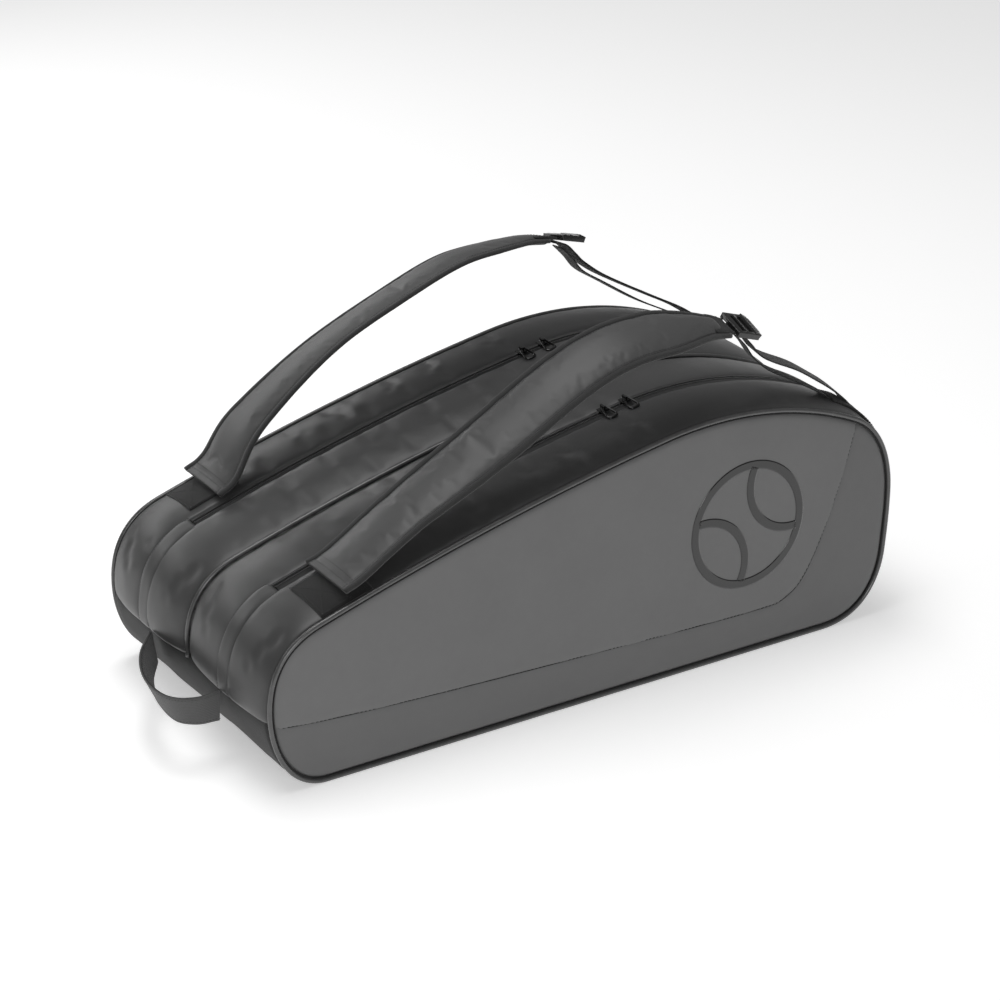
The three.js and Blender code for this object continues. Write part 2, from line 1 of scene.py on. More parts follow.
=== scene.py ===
# %% [markdown]
# # A racket tournament bag, sewn in Blender
# The bag is a soft shell: a dark base, crowned gusset bands along the top, two padded covers with
# piping round them, two zips, two padded shoulder straps and one webbing handle. The imported model is
# loaded first as a fixed frame. It says where each piece goes and how each body moves. Every piece
# here is sewn around that frame in its own cells, and nothing is fitted afterwards.

# %% Load the frame
import json
import math

import bmesh
import bpy
import numpy as np
from mathutils import Matrix, Vector, noise
from mathutils.bvhtree import BVHTree

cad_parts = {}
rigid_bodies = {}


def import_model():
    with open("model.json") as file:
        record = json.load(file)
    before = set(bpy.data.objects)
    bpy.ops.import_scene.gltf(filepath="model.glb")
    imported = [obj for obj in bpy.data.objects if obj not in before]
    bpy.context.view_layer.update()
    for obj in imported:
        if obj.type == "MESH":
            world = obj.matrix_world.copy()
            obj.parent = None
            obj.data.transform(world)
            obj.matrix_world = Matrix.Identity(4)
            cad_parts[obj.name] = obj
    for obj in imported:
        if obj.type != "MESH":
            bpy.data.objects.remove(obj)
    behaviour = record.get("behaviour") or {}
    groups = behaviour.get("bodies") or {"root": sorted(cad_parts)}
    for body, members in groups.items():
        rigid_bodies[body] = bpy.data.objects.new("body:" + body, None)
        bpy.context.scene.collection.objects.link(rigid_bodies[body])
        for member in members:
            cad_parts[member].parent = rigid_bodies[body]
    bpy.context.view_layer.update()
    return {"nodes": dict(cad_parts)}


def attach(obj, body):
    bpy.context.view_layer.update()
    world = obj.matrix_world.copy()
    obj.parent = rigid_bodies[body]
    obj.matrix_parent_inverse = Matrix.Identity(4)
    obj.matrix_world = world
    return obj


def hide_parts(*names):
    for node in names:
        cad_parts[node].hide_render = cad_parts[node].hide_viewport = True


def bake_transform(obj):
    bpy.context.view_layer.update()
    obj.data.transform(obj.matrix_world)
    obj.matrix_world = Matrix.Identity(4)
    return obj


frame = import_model()
MM = 0.001
scene = bpy.context.scene
known = {thing.name for thing in scene.objects}


def tell(title):
    """Prints the things made since it was last called."""
    names = {thing.name for thing in scene.objects}
    print(title, sorted(names - known))
    known.update(names)


# %% [markdown]
# ## Light, floor and camera
# A dark bag is best lit by large soft sources, so that the coated cloth shows broad gentle highlights
# and the piping a thin bright line. Area lights do that with few samples, and a floor that glows a
# little stays white without more light on the bag. A long lens from over three metres away keeps the
# bag's edges nearly parallel.

# %% Camera
AIM = Vector((-0.0068, 0.0, 0.1636))
CAMERA_DISTANCE = 3.3673
CAMERA_AZIMUTH = math.radians(-32.22)
CAMERA_HEIGHT = math.radians(24.98)
LENS_MM = 113.6


def add_camera():
    flat = CAMERA_DISTANCE * math.cos(CAMERA_HEIGHT)
    place = AIM + Vector((
        flat * math.sin(CAMERA_AZIMUTH),
        -flat * math.cos(CAMERA_AZIMUTH),
        CAMERA_DISTANCE * math.sin(CAMERA_HEIGHT),
    ))
    data = bpy.data.cameras.new("catalogue_camera")
    data.lens = LENS_MM
    data.sensor_width = 36
    camera = bpy.data.objects.new("catalogue_camera", data)
    camera.location = place
    camera.rotation_euler = (AIM - place).to_track_quat("-Z", "Y").to_euler()
    scene.collection.objects.link(camera)
    scene.camera = camera
    print("camera at", [round(x, 3) for x in place])


add_camera()


# %% Lights and world
def add_area_light(name, place, aim, size, power):
    data = bpy.data.lights.new(name, "AREA")
    data.shape = "RECTANGLE"
    data.size, data.size_y = size
    data.energy = power
    light = bpy.data.objects.new(name, data)
    light.location = place
    light.rotation_euler = (Vector(aim) - Vector(place)).to_track_quat("-Z", "Y").to_euler()
    scene.collection.objects.link(light)


add_area_light("front_softbox", (-1.1, -2.8, 1.0), (0.0, -0.1, 0.14), (1.2, 1.2), 25)
add_area_light("overhead_softbox", (-0.3, 0.3, 2.7), (0, 0, 0.1), (2.2, 1.2), 36)
add_area_light("grip_strip", (-2.6, -0.5, 1.5), (-0.4, 0, 0.15), (0.16, 1.4), 1.2)
add_area_light("back_strip", (-0.6, 2.2, 1.1), (0, 0, 0.25), (2.4, 0.35), 12)

world = bpy.data.worlds.new("studio")
scene.world = world
world.use_nodes = True
world.node_tree.nodes["Background"].inputs["Color"].default_value = (1, 1, 1, 1)
world.node_tree.nodes["Background"].inputs["Strength"].default_value = 0.2
scene.view_settings.view_transform = "Standard"
tell("lights")

# %% [markdown]
# ## Shader maths in plain expressions
# Fabric finishes are built from small formulas: a weave is a pair of waves, and fuzz is a fine noise.
# Written as nodes by hand they are hard to read, so one small class wraps a socket and
# lets Python's own operators add the Math nodes. Colours go through Mix nodes, which keep their hue.


# %% The socket wrapper and the material book
class Value:
    """One output socket, with operators that add Math nodes."""

    def __init__(self, sheet, socket):
        self.sheet = sheet
        self.socket = socket

    def math(self, operation, *others):
        return self.sheet.node("ShaderNodeMath", {"operation": operation}, [self, *others])

    def __add__(self, other): return self.math("ADD", other)
    def __sub__(self, other): return self.math("SUBTRACT", other)
    def __mul__(self, other): return self.math("MULTIPLY", other)
    def __truediv__(self, other): return self.math("DIVIDE", other)
    def __rsub__(self, other): return self.math("MULTIPLY", -1).math("ADD", other)
    __radd__ = __add__
    __rmul__ = __mul__

    def sine(self): return self.math("SINE")
    def absolute(self): return self.math("ABSOLUTE")
    def larger(self, other): return self.math("MAXIMUM", other)
    def smaller(self, other): return self.math("MINIMUM", other)

    def step(self, low, high):
        return self.sheet.node(
            "ShaderNodeMapRange", {"interpolation_type": "SMOOTHSTEP", "clamp": True}, [self, low, high],
        )


class Finish:
    """One material and the nodes that make it."""

    def __init__(self, name, colour, roughness, **fixed):
        self.material = bpy.data.materials.new(name)
        self.material.use_nodes = True
        self.tree = self.material.node_tree
        self.shader = self.tree.nodes["Principled BSDF"]
        self.shader.inputs["Base Color"].default_value = (*colour, 1)
        self.shader.inputs["Roughness"].default_value = roughness
        for socket, number in fixed.items():
            self.shader.inputs[socket.replace("_", " ")].default_value = number

    def node(self, kind, settings=None, inputs=(), output=0):
        made = self.tree.nodes.new(kind)
        for key, setting in (settings or {}).items():
            setattr(made, key, setting)
        pairs = inputs.items() if isinstance(inputs, dict) else enumerate(inputs)
        for key, given in pairs:
            if isinstance(given, Value):
                self.tree.links.new(given.socket, made.inputs[key])
            else:
                made.inputs[key].default_value = given
        return Value(self, made.outputs[output])

    def place(self):
        """Object coordinates, in metres."""
        return self.node("ShaderNodeTexCoord", output="Object")

    def cloth(self):
        """The piece's own map, in metres: x across the cloth, y along it."""
        return self.node("ShaderNodeUVMap", {"uv_map": "cloth"})

    def split(self, vector):
        made = self.tree.nodes.new("ShaderNodeSeparateXYZ")
        self.tree.links.new(vector.socket, made.inputs[0])
        return [Value(self, socket) for socket in made.outputs]

    def grain(self, size, detail=2.0, roughness=0.5, where=None):
        inputs = {
            "Vector": where or self.place(), "Scale": 1 / size, "Detail": detail, "Roughness": roughness,
        }
        return self.node("ShaderNodeTexNoise", inputs=inputs)

    def between(self, share, first, second):
        inputs = {"Factor": share, "A": (*first, 1), "B": (*second, 1)}
        names = {"Factor": 0, "A": 6, "B": 7}
        made = {names[key]: given for key, given in inputs.items()}
        return self.node("ShaderNodeMix", {"data_type": "RGBA"}, made, output=2)

    def colour(self, value): self.tree.links.new(value.socket, self.shader.inputs["Base Color"])
    def rough(self, value): self.tree.links.new(value.socket, self.shader.inputs["Roughness"])

    def bump(self, height, depth):
        """Height from 0 to 1, raised by depth metres."""
        made = self.node("ShaderNodeBump", inputs={"Strength": 1.0, "Distance": depth, "Height": height})
        self.tree.links.new(made.socket, self.shader.inputs["Normal"])


def grey(level, warmth=0.0):
    """A near-neutral colour from an sRGB level out of 255, as linear light."""
    linear = (level / 255 / 1.055 + 0.055 / 1.055) ** 2.4
    return (linear * (1 + warmth), linear, linear * (1 - warmth))


print("level 66 is", round(grey(66)[0], 3), "in linear light")

# %% [markdown]
# ## Finishes
# The bag is all in dark greys, so the finishes differ in gloss and texture far more than in colour:
# a matte coated cloth on the covers, a smoother one on the top bands, gritty ripstop on the base,
# ribbed webbing, open mesh, glossy piping, and mirror-black plastic and metal.

# %% Coated cloth
WEAVE_PITCH = 0.9 * MM


def coated_cloth(name, level, roughness, grain_depth=0.05, sheen=0.12):
    """A tight plain weave under a thin coating: fine grain, broad mottling and a little sheen."""
    finish = Finish(
        name, grey(level), roughness,
        Sheen_Weight=sheen, Sheen_Roughness=0.45, Specular_IOR_Level=0.38,
    )
    x, y, z = finish.split(finish.place())
    pitch = 2 * math.pi / WEAVE_PITCH
    weave = ((x + y) * pitch).sine() * (z * pitch).sine() * 0.5 + 0.5
    fine = finish.grain(0.7 * MM, 3.0)
    broad = finish.grain(70 * MM, 2.0)
    cloudy = finish.grain(9 * MM, 3.0)
    share = broad * 0.6 + cloudy * 0.25 + fine * 0.15
    finish.colour(finish.between(share, grey(level * 0.93), grey(level * 1.07)))
    finish.rough((broad - 0.5) * 0.12 + (fine - 0.5) * 0.15 + roughness)
    finish.bump(weave * 0.6 + fine * 0.4, grain_depth * MM)
    return finish.material


print("weave pitch", WEAVE_PITCH, "m")


# %% Ripstop
RIPSTOP_PITCH = 4 * MM


def ripstop_cloth(name, level):
    """A dark weave with a raised grid of thicker threads every 4 mm."""
    finish = Finish(name, grey(level), 0.72, Sheen_Weight=0.1, Specular_IOR_Level=0.3)
    across, along, _ = finish.split(finish.cloth())
    ridges = []
    for run in (across, along):
        wave = (run * (math.pi / RIPSTOP_PITCH)).sine().absolute()
        ridges.append((1 - wave).step(0.82, 0.97))
    grid = ridges[0].larger(ridges[1])
    thread = 2 * math.pi / (0.7 * MM)
    weave = (across * thread).sine() * (along * thread).sine() * 0.5 + 0.5
    fine = finish.grain(0.5 * MM, 2.0)
    share = grid * 0.5 + weave * 0.2 + finish.grain(40 * MM) * 0.3
    finish.colour(finish.between(share, grey(level * 0.82), grey(level * 1.28)))
    finish.rough(fine * 0.2 + 0.62)
    finish.bump(grid * 0.7 + weave * 0.2 + fine * 0.1, 0.16 * MM)
    return finish.material


print("ripstop pitch", RIPSTOP_PITCH, "m")


# %% Webbing
PICK_PITCH = 1.1 * MM


def webbing_weave(name, level, rib=1.6, depth=0.28):
    """Flat woven tape: ribs along it, each broken into slanting picks that meet in chevrons."""
    finish = Finish(name, grey(level), 0.78, Sheen_Weight=0.2, Sheen_Roughness=0.5, Specular_IOR_Level=0.3)
    across, along, _ = finish.split(finish.cloth())
    slant = (across * (math.pi / (rib * MM))).sine().absolute()
    picks = (along * (2 * math.pi / PICK_PITCH) + slant * 2.4).sine() * 0.5 + 0.5
    ribs = slant.step(0.05, 0.55)
    fuzz = finish.grain(0.4 * MM, 3.0)
    share = ribs * 0.35 + picks * 0.35 + fuzz * 0.3
    finish.colour(finish.between(share, grey(level * 0.6), grey(level * 1.3)))
    finish.rough(fuzz * 0.25 + 0.65)
    finish.bump(ribs * picks * 0.7 + ribs * 0.2 + fuzz * 0.1, depth * MM)
    return finish.material


print("pick pitch", PICK_PITCH, "m")


# %% Spacer mesh, lining and foam
def spacer_mesh(name, level):
    """The airy knit on straps: small round eyes in a soft dark net, the eyes painted darker as shade inside
    them.
    """
    finish = Finish(name, grey(level), 0.85, Sheen_Weight=0.15, Specular_IOR_Level=0.25)
    across, along, _ = finish.split(finish.cloth())
    pitch = 2 * math.pi / (2.6 * MM)
    eyes = (across * pitch).sine() * (along * pitch * 0.62).sine()
    eyes_in_shade = eyes.absolute().step(0.35, 0.8)
    fuzz = finish.grain(0.5 * MM, 2.0)
    # The eyes are painted darker than the net: painted shade inside the open holes.
    finish.colour(finish.between(eyes_in_shade * 0.8 + fuzz * 0.2, grey(level * 1.3), grey(level * 0.5)))
    finish.bump((1 - eyes_in_shade) * 0.8 + fuzz * 0.2, 0.5 * MM)
    return finish.material


def smooth_lining(name, level, quilt=30):
    """A thin light lining, quilted to its backing in diamonds, with painted shade along the quilt lines."""
    finish = Finish(name, grey(level), 0.5, Sheen_Weight=0.1)
    x, _, z = finish.split(finish.place())
    run = math.pi / (quilt * MM)
    seams = ((x + z) * run).sine().absolute().smaller(((x - z) * run).sine().absolute())
    # This mask is low near the quilt lines: they are painted darker, as shade where the cloth dips, and sunk
    # in the bump.
    soft = seams.step(0.0, 0.35)
    fine = finish.grain(0.8 * MM, 3.0)
    finish.colour(finish.between(soft * 0.7 + fine * 0.3, grey(level * 0.8), grey(level * 1.05)))
    finish.rough(fine * 0.2 + 0.4)
    finish.bump(soft * 0.85 + fine * 0.15, 1.2 * MM)
    return finish.material


# %% Piping, plastic, metal and film
def glossy_cord(name, level, roughness):
    """Piping: coated cloth pulled tight round a cord, worn a little on its crest."""
    finish = Finish(name, grey(level), roughness, Coat_Weight=0.35, Coat_Roughness=0.22)
    worn = finish.grain(11 * MM, 4.0, 0.6)
    fine = finish.grain(0.9 * MM, 2.0)
    finish.colour(finish.between(worn, grey(level * 0.8), grey(level * 1.25)))
    finish.rough(worn * 0.22 + fine * 0.1 + (roughness - 0.12))
    finish.bump(worn * 0.5 + fine * 0.5, 0.09 * MM)
    return finish.material


def moulded_plastic(name, level, roughness, coat=0.4):
    """Hard nylon from a polished mould: nearly smooth, with faint flow marks."""
    finish = Finish(name, grey(level), roughness, Coat_Weight=coat, Coat_Roughness=0.12)
    flow = finish.grain(6 * MM, 3.0)
    fine = finish.grain(0.6 * MM, 2.0)
    finish.colour(finish.between(flow, grey(level * 0.85), grey(level * 1.3)))
    finish.rough(flow * 0.12 + fine * 0.06 + (roughness - 0.08))
    finish.bump(flow * 0.4 + fine * 0.6, 0.03 * MM)
    return finish.material


def plated_metal(name, level, roughness):
    """Black plated zip metal, rubbed brighter where it is handled."""
    finish = Finish(name, grey(level), roughness, Metallic=0.75, Coat_Weight=0.5, Coat_Roughness=0.1)
    rubbed = finish.grain(2.5 * MM, 4.0, 0.65).step(0.55, 0.8)
    finish.colour(finish.between(rubbed, grey(level), grey(level * 2.6)))
    finish.rough(rubbed * 0.18 + roughness)
    finish.bump(finish.grain(0.5 * MM, 3.0), 0.02 * MM)
    return finish.material


def mirror_film(name, level):
    """A heat-pressed gloss film: it copies the cloth's slow waves, and a trace of its weave."""
    finish = Finish(name, grey(level), 0.07, Coat_Weight=0.5, Coat_Roughness=0.06)
    slow = finish.grain(34 * MM, 1.0)
    weave = finish.grain(1.1 * MM, 2.0)
    finish.rough(weave * 0.06 + 0.05)
    finish.bump(slow * 0.9 + weave * 0.1, 0.5 * MM)
    return finish.material


FINISHES = {
    "panel": coated_cloth("panel_cloth", 101, 0.55),
    "lower": coated_cloth("lower_cloth", 92, 0.44),
    "band": coated_cloth("band_cloth", 62, 0.38, 0.04, 0.05),
    "strap": coated_cloth("strap_cloth", 70, 0.44),
    "ripstop": ripstop_cloth("base_ripstop", 38),
    "webbing": webbing_weave("black_webbing", 15),
    "handle": webbing_weave("grey_webbing", 72, 2.2),
    "tape": webbing_weave("zip_tape", 22, 2.4, 0.16),
    "binding": webbing_weave("edge_binding", 38, 1.2, 0.2),
    "mesh": spacer_mesh("strap_mesh", 44),
    "lining": smooth_lining("quilted_lining", 120),
    "piping": glossy_cord("piping_cover", 66, 0.18),
    # Near-black cords laid in the seams: painted shade in the gaps there.
    "seam": webbing_weave("seam_shade_cord", 8, 1.2, 0.1),
    "thread": glossy_cord("sewing_thread", 40, 0.5),
    "teeth": moulded_plastic("coil_teeth", 24, 0.35),
    "plastic": moulded_plastic("buckle_nylon", 22, 0.26),
    "metal": plated_metal("zip_metal", 30, 0.16),
    "film": mirror_film("emblem_film", 12),
    "board": moulded_plastic("base_board_sheet", 40, 0.5, 0.0),
}
print("finishes", len(FINISHES))

# %% [markdown]
# ## Cloth as a grid of points
# Most of the bag is cloth that follows a known line: the side outline of the bag, a strap's arch, the
# handle's loop. A grid of points is easy to bend, crown and wrinkle with a formula, and it carries a
# map in metres for the weave. Solidify then gives the cloth its thickness and closes its edges.

# %% Grids and thickness
def grid_piece(name, points, across, along, ring=False):
    """A mesh from rows of points, with its outside where rows x columns points. A ring joins up its
    columns and gets a cap at each end, and its maps have one more column, for the joining quads."""
    rows, cols = points.shape[:2]
    spot = np.arange(rows * cols).reshape(rows, cols)
    if ring:
        spot = np.concatenate([spot, spot[:, :1]], 1)

    def corners(table):
        sides = [table[:-1, :-1], table[1:, :-1], table[1:, 1:], table[:-1, 1:]]
        return np.stack(sides, -1).reshape(-1, 4)

    faces = corners(spot).tolist()
    places = np.stack([corners(across), corners(along)], -1).reshape(-1, 2)
    if ring:
        faces += [spot[0, :-1].tolist(), spot[-1, :-1][::-1].tolist()]
        places = np.concatenate([places, np.zeros((2 * cols, 2))])
    mesh = bpy.data.meshes.new(name)
    mesh.from_pydata(points.reshape(-1, 3).tolist(), [], faces)
    mesh.uv_layers.new(name="cloth").data.foreach_set("uv", places.ravel())
    mesh.polygons.foreach_set("use_smooth", [True] * len(faces))
    piece = bpy.data.objects.new(name, mesh)
    scene.collection.objects.link(piece)
    return piece


def weld(piece, gap=0.02 * MM):
    """Merges points that lie on each other, such as at a patch's pointed ends."""
    work = bmesh.new()
    work.from_mesh(piece.data)
    bmesh.ops.remove_doubles(work, verts=work.verts, dist=gap)
    work.to_mesh(piece.data)
    work.free()
    return piece


def baked(piece):
    """Turns the modifiers of a piece into plain mesh."""
    graph = bpy.context.evaluated_depsgraph_get()
    mesh = bpy.data.meshes.new_from_object(piece.evaluated_get(graph), depsgraph=graph)
    piece.modifiers.clear()
    piece.data = mesh
    mesh.name = piece.name
    return piece


def thicken(piece, thickness):
    """Gives the cloth its thickness on its inner side, and closes its edges."""
    solid = piece.modifiers.new("thickness", "SOLIDIFY")
    solid.thickness = thickness
    solid.offset = -1
    return baked(piece)


def dress(piece, finish, nodes=(), body=None):
    """Puts the finish on a piece, hides the imported parts it stands for and lets it ride."""
    piece.data.materials.clear()
    piece.data.materials.append(FINISHES[finish])
    if nodes:
        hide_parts(*nodes)
    if body:
        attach(piece, body)
    return piece


def ripple(points, size, seed):
    """Smooth noise from -1 to 1 at each point, for wrinkles and sags."""
    flat = points.reshape(-1, 3) / size + seed
    values = np.array([noise.noise(Vector(p)) for p in flat])
    return values.reshape(points.shape[:-1])


def fade(t):
    """Turns 0..1 into a smooth start and end."""
    t = np.clip(t, 0, 1)
    return t * t * (3 - 2 * t)


# %% Frames and sections
class Frames:
    """Places along a line, each with a side and an up direction."""

    def __init__(self, centre, side, up):
        self.centre, self.side, self.up = (np.asarray(part, float) for part in (centre, side, up))
        steps = np.linalg.norm(np.diff(self.centre, axis=0), axis=1)
        self.distance = np.concatenate([[0], np.cumsum(steps)])

    def place(self, a, b):
        """Points at a along the side and b up, for tables of one row a frame."""
        return (
            self.centre[:, None]
            + a[..., None] * self.side[:, None]
            + b[..., None] * self.up[:, None]
        )


def tangents(centre):
    way = np.gradient(centre, axis=0)
    return way / np.linalg.norm(way, axis=1, keepdims=True)


def strip_section(width, thickness, steps=9):
    """A flat strip's section with round edges, from its left edge over the top."""
    radius = thickness / 2
    flat = width / 2 - radius
    turn = np.array([0.25, 0.5, 0.75]) * math.pi
    top = np.linspace(-flat, flat, steps)
    a = np.concatenate([top, flat + radius * np.sin(turn), top[::-1], -flat - radius * np.sin(turn)])
    b = np.concatenate([
        np.full(steps, radius), radius * np.cos(turn), np.full(steps, -radius), -radius * np.cos(turn),
    ])
    return a, b


def round_section(radius, corners=12):
    turn = np.arange(corners) / corners * 2 * math.pi
    return radius * np.sin(turn), radius * np.cos(turn)


def swept(name, frames, section, widths=None, lift=0.0, shift=0.0):
    """Sweeps a section along frames. Widths stretches it sideways, lift raises it, shift moves it aside."""
    a, b = section
    rows = len(frames.centre)
    ring_a = np.tile(a, (rows, 1))
    if widths is not None:
        ring_a = ring_a + np.sign(ring_a) * (np.reshape(widths, (rows, 1)) - np.ptp(a)) / 2
    ring_b = np.tile(b, (rows, 1)) + np.reshape(lift, (-1, 1))
    points = frames.place(ring_a + np.reshape(shift, (-1, 1)), ring_b)
    round_trip = np.concatenate([points, points[:, :1]], 1)
    across = np.cumsum(np.linalg.norm(np.diff(round_trip, axis=1), axis=2), axis=1)
    across = np.concatenate([np.zeros((rows, 1)), across], 1)
    along = np.tile(frames.distance[:, None], (1, across.shape[1]))
    return grid_piece(name, points, across, along, ring=True)


print("round section corners", len(round_section(1 * MM)[0]))

# %% [markdown]
# ## The side outline
# Both covers, the gusset bands, the piping and the zips follow one line, the bag's side outline: a
# flat base, round toes, a gently sloping back and a rounder crown. Two arcs and a few cubic corners
# give it, so every piece reads it by distance along it, and the pieces meet without fitting.

# %% The outline as arcs and corners
HALF_WIDTH = 176 * MM
ZIP_Y = 88 * MM
CROWN_TOP = np.array([155, 286]) * MM
CROWN_RADIUS = 411 * MM
SLOPE_RADIUS = 3000 * MM
CROWN_START = 85 * MM
SLOPE_START = -325.5 * MM
CROWN_END = 332 * MM
HEAD_BULGE = np.array([385, 145]) * MM
GRIP_BASE = np.array([-384, 80]) * MM
HEAD_BASE = np.array([381.5, 80]) * MM
HEAD_TOE = np.array([300, 0]) * MM
GRIP_TOE = np.array([-320, 0]) * MM


def unit(x, z):
    return np.array([x, z]) / math.hypot(x, z)


def arc_points(centre, radius, x_from, x_to, count=60):
    angles = np.linspace(*(math.acos((x - centre[0]) / radius) for x in (x_from, x_to)), count)
    return centre + radius * np.stack([np.cos(angles), np.sin(angles)], 1)


def corner_points(start, leave, first, end, arrive, second, count=40):
    t = np.linspace(0, 1, count)[:, None]
    a = start + leave * first
    b = end - arrive * second
    return (1 - t) ** 3 * start + 3 * (1 - t) ** 2 * t * a + 3 * (1 - t) * t * t * b + t ** 3 * end


CROWN_CENTRE = CROWN_TOP - [0, CROWN_RADIUS]
crown_angle = math.acos((CROWN_START - CROWN_CENTRE[0]) / CROWN_RADIUS)
SLOPE_CENTRE = CROWN_CENTRE + (CROWN_RADIUS - SLOPE_RADIUS) * unit(
    math.cos(crown_angle), math.sin(crown_angle)
)
slope = arc_points(SLOPE_CENTRE, SLOPE_RADIUS, SLOPE_START, CROWN_START)
crown = arc_points(CROWN_CENTRE, CROWN_RADIUS, CROWN_START, CROWN_END)
slope_leave = unit(*(slope[1] - slope[0]))
crown_leave = unit(*(crown[-1] - crown[-2]))
UP_GRIP = unit(-0.08, 1)
DOWN_HEAD = unit(-0.08, -1)
grip_shoulder = corner_points(GRIP_BASE, UP_GRIP, 52 * MM, slope[0], slope_leave, 44 * MM)
head_shoulder = corner_points(crown[-1], crown_leave, 38 * MM, HEAD_BULGE, unit(0, -1), 48 * MM)
head_flank = corner_points(HEAD_BULGE, unit(0, -1), 25 * MM, HEAD_BASE, DOWN_HEAD, 18 * MM)
head_toe = corner_points(HEAD_BASE, DOWN_HEAD, 40 * MM, HEAD_TOE, unit(-1, 0), 55 * MM)
grip_toe = corner_points(GRIP_TOE, unit(-1, 0), 38 * MM, GRIP_BASE, UP_GRIP, 42 * MM)
base_run = np.linspace(HEAD_TOE, GRIP_TOE, 90)


class Route:
    """A line in x and z, read by distance along it."""

    def __init__(self, *parts, closed=False):
        self.points = np.concatenate([part if i == 0 else part[1:] for i, part in enumerate(parts)])
        steps = np.linalg.norm(np.diff(self.points, axis=0), axis=1)
        self.distance = np.concatenate([[0], np.cumsum(steps)])
        self.length = self.distance[-1]
        self.closed = closed

    def at(self, distance):
        if self.closed:
            distance = np.mod(distance, self.length)
        return np.stack([np.interp(distance, self.distance, self.points[:, k]) for k in (0, 1)], -1)

    def tangent(self, distance, reach=2 * MM):
        if self.closed:
            ahead = self.at(distance + reach) - self.at(distance - reach)
        else:
            inside = np.clip(distance, reach, self.length - reach)
            ahead = self.at(inside + reach) - self.at(inside - reach)
        return ahead / np.linalg.norm(ahead, axis=-1, keepdims=True)

    def distance_to(self, x, z):
        """The distance along the line of the point nearest to x and z."""
        return self.distance[int(np.argmin(np.hypot(self.points[:, 0] - x, self.points[:, 1] - z)))]

    def lifted(self, distance, y, height):
        """Points at a distance along the line, at y, and a height out from it."""
        place = self.at(distance)
        way = self.tangent(distance)
        x = place[..., 0] - way[..., 1] * height
        z = place[..., 1] + way[..., 0] * height
        return np.stack(np.broadcast_arrays(x, y, z), -1)

    def frames(self, distance, y, height=0.0):
        way = self.tangent(distance)
        nought = np.zeros(len(distance))
        up = np.stack([-way[:, 1], nought, way[:, 0]], 1)
        return Frames(self.lifted(distance, y, height), np.tile([0, 1, 0], (len(distance), 1)), up)


over_top = Route(grip_shoulder, slope, crown, head_shoulder, head_flank)
under_base = Route(head_toe, base_run, grip_toe)
outline = Route(
    grip_shoulder, slope, crown, head_shoulder, head_flank, head_toe, base_run, grip_toe, closed=True,
)
print("over the top", round(over_top.length, 3), "all round", round(outline.length, 3))


def inset_of(x, z):
    """How far inside the outline a point is, and the outline's distance there."""
    samples = np.linspace(0, outline.length, 900, endpoint=False)
    line = outline.at(samples)
    way = outline.tangent(samples)
    apart = np.hypot(np.subtract.outer(x, line[:, 0]), np.subtract.outer(z, line[:, 1]))
    near = np.argmin(apart, -1)
    dx = x - line[near, 0]
    dz = z - line[near, 1]
    return dx * way[near, 1] - dz * way[near, 0], samples[near]


# %% [markdown]
# ## Fabric under tension
# The covers, bands and strap pads are cloth pulled over foam. Cloth simulation finds how such a skin
# swells between its seams: the rows at the seams are pinned, the skin is made a little too large for
# its frame, and a small pressure pushes it out. How far a point may move is capped, so that the bag
# keeps its size. The seams' own narrow dips are pressed in afterwards.

# %% The swelling run
SWELL_FRAMES = 20


def swell(points, held, pressure, slack, cap, flip=False):
    """Simulates a grid of points as cloth, held at the marked points, and returns the moved points."""
    rows, cols = points.shape[:2]
    flat = np.zeros((rows, cols))
    skin = grid_piece("skin", points[:, ::-1] if flip else points, flat, flat)
    pins = (held[:, ::-1] if flip else held).ravel()
    group = skin.vertex_groups.new(name="held")
    group.add(np.flatnonzero(pins).tolist(), 1.0, "REPLACE")
    cloth = skin.modifiers.new("cloth", "CLOTH")
    settings = cloth.settings
    settings.vertex_group_mass = "held"
    settings.quality = 6
    settings.mass = 0.25
    settings.tension_stiffness = settings.compression_stiffness = 12
    settings.bending_stiffness = 1.2
    settings.shrink_min = -slack
    settings.use_pressure = True
    settings.uniform_pressure_force = pressure
    settings.effector_weights.gravity = 0
    cloth.collision_settings.use_collision = False
    for number in range(1, SWELL_FRAMES + 1):
        scene.frame_set(number)
    graph = bpy.context.evaluated_depsgraph_get()
    moved = np.empty(rows * cols * 3)
    skin.evaluated_get(graph).data.vertices.foreach_get("co", moved)
    moved = moved.reshape(rows, cols, 3)
    if flip:
        moved = moved[:, ::-1]
    bpy.data.objects.remove(skin)
    scene.frame_set(1)
    shift = moved - points
    far = np.linalg.norm(shift, axis=-1, keepdims=True)
    return points + shift * (cap * np.tanh(far / cap) / np.maximum(far, 1e-9))


def finer(table, times):
    """Refines a grid of points along both ways with a smooth curve through them."""
    for axis in (0, 1):
        grid = np.moveaxis(table, axis, 0)
        count = len(grid)
        before = 2 * grid[0] - grid[1]
        after = 2 * grid[-1] - grid[-2]
        padded = np.concatenate([before[None], grid, after[None]])
        spots = np.linspace(0, count - 1, (count - 1) * times + 1)
        cell = np.minimum(spots.astype(int), count - 2)
        t = (spots - cell).reshape(-1, *[1] * (grid.ndim - 1))
        p0, p1, p2, p3 = (padded[cell + k] for k in range(4))
        fine = 0.5 * (
            2 * p1 + (p2 - p0) * t + (2 * p0 - 5 * p1 + 4 * p2 - p3) * t ** 2
            + (3 * p1 - p0 - 3 * p2 + p3) * t ** 3
        )
        table = np.moveaxis(fine, 0, axis)
    return table


print("swelling frames", SWELL_FRAMES)


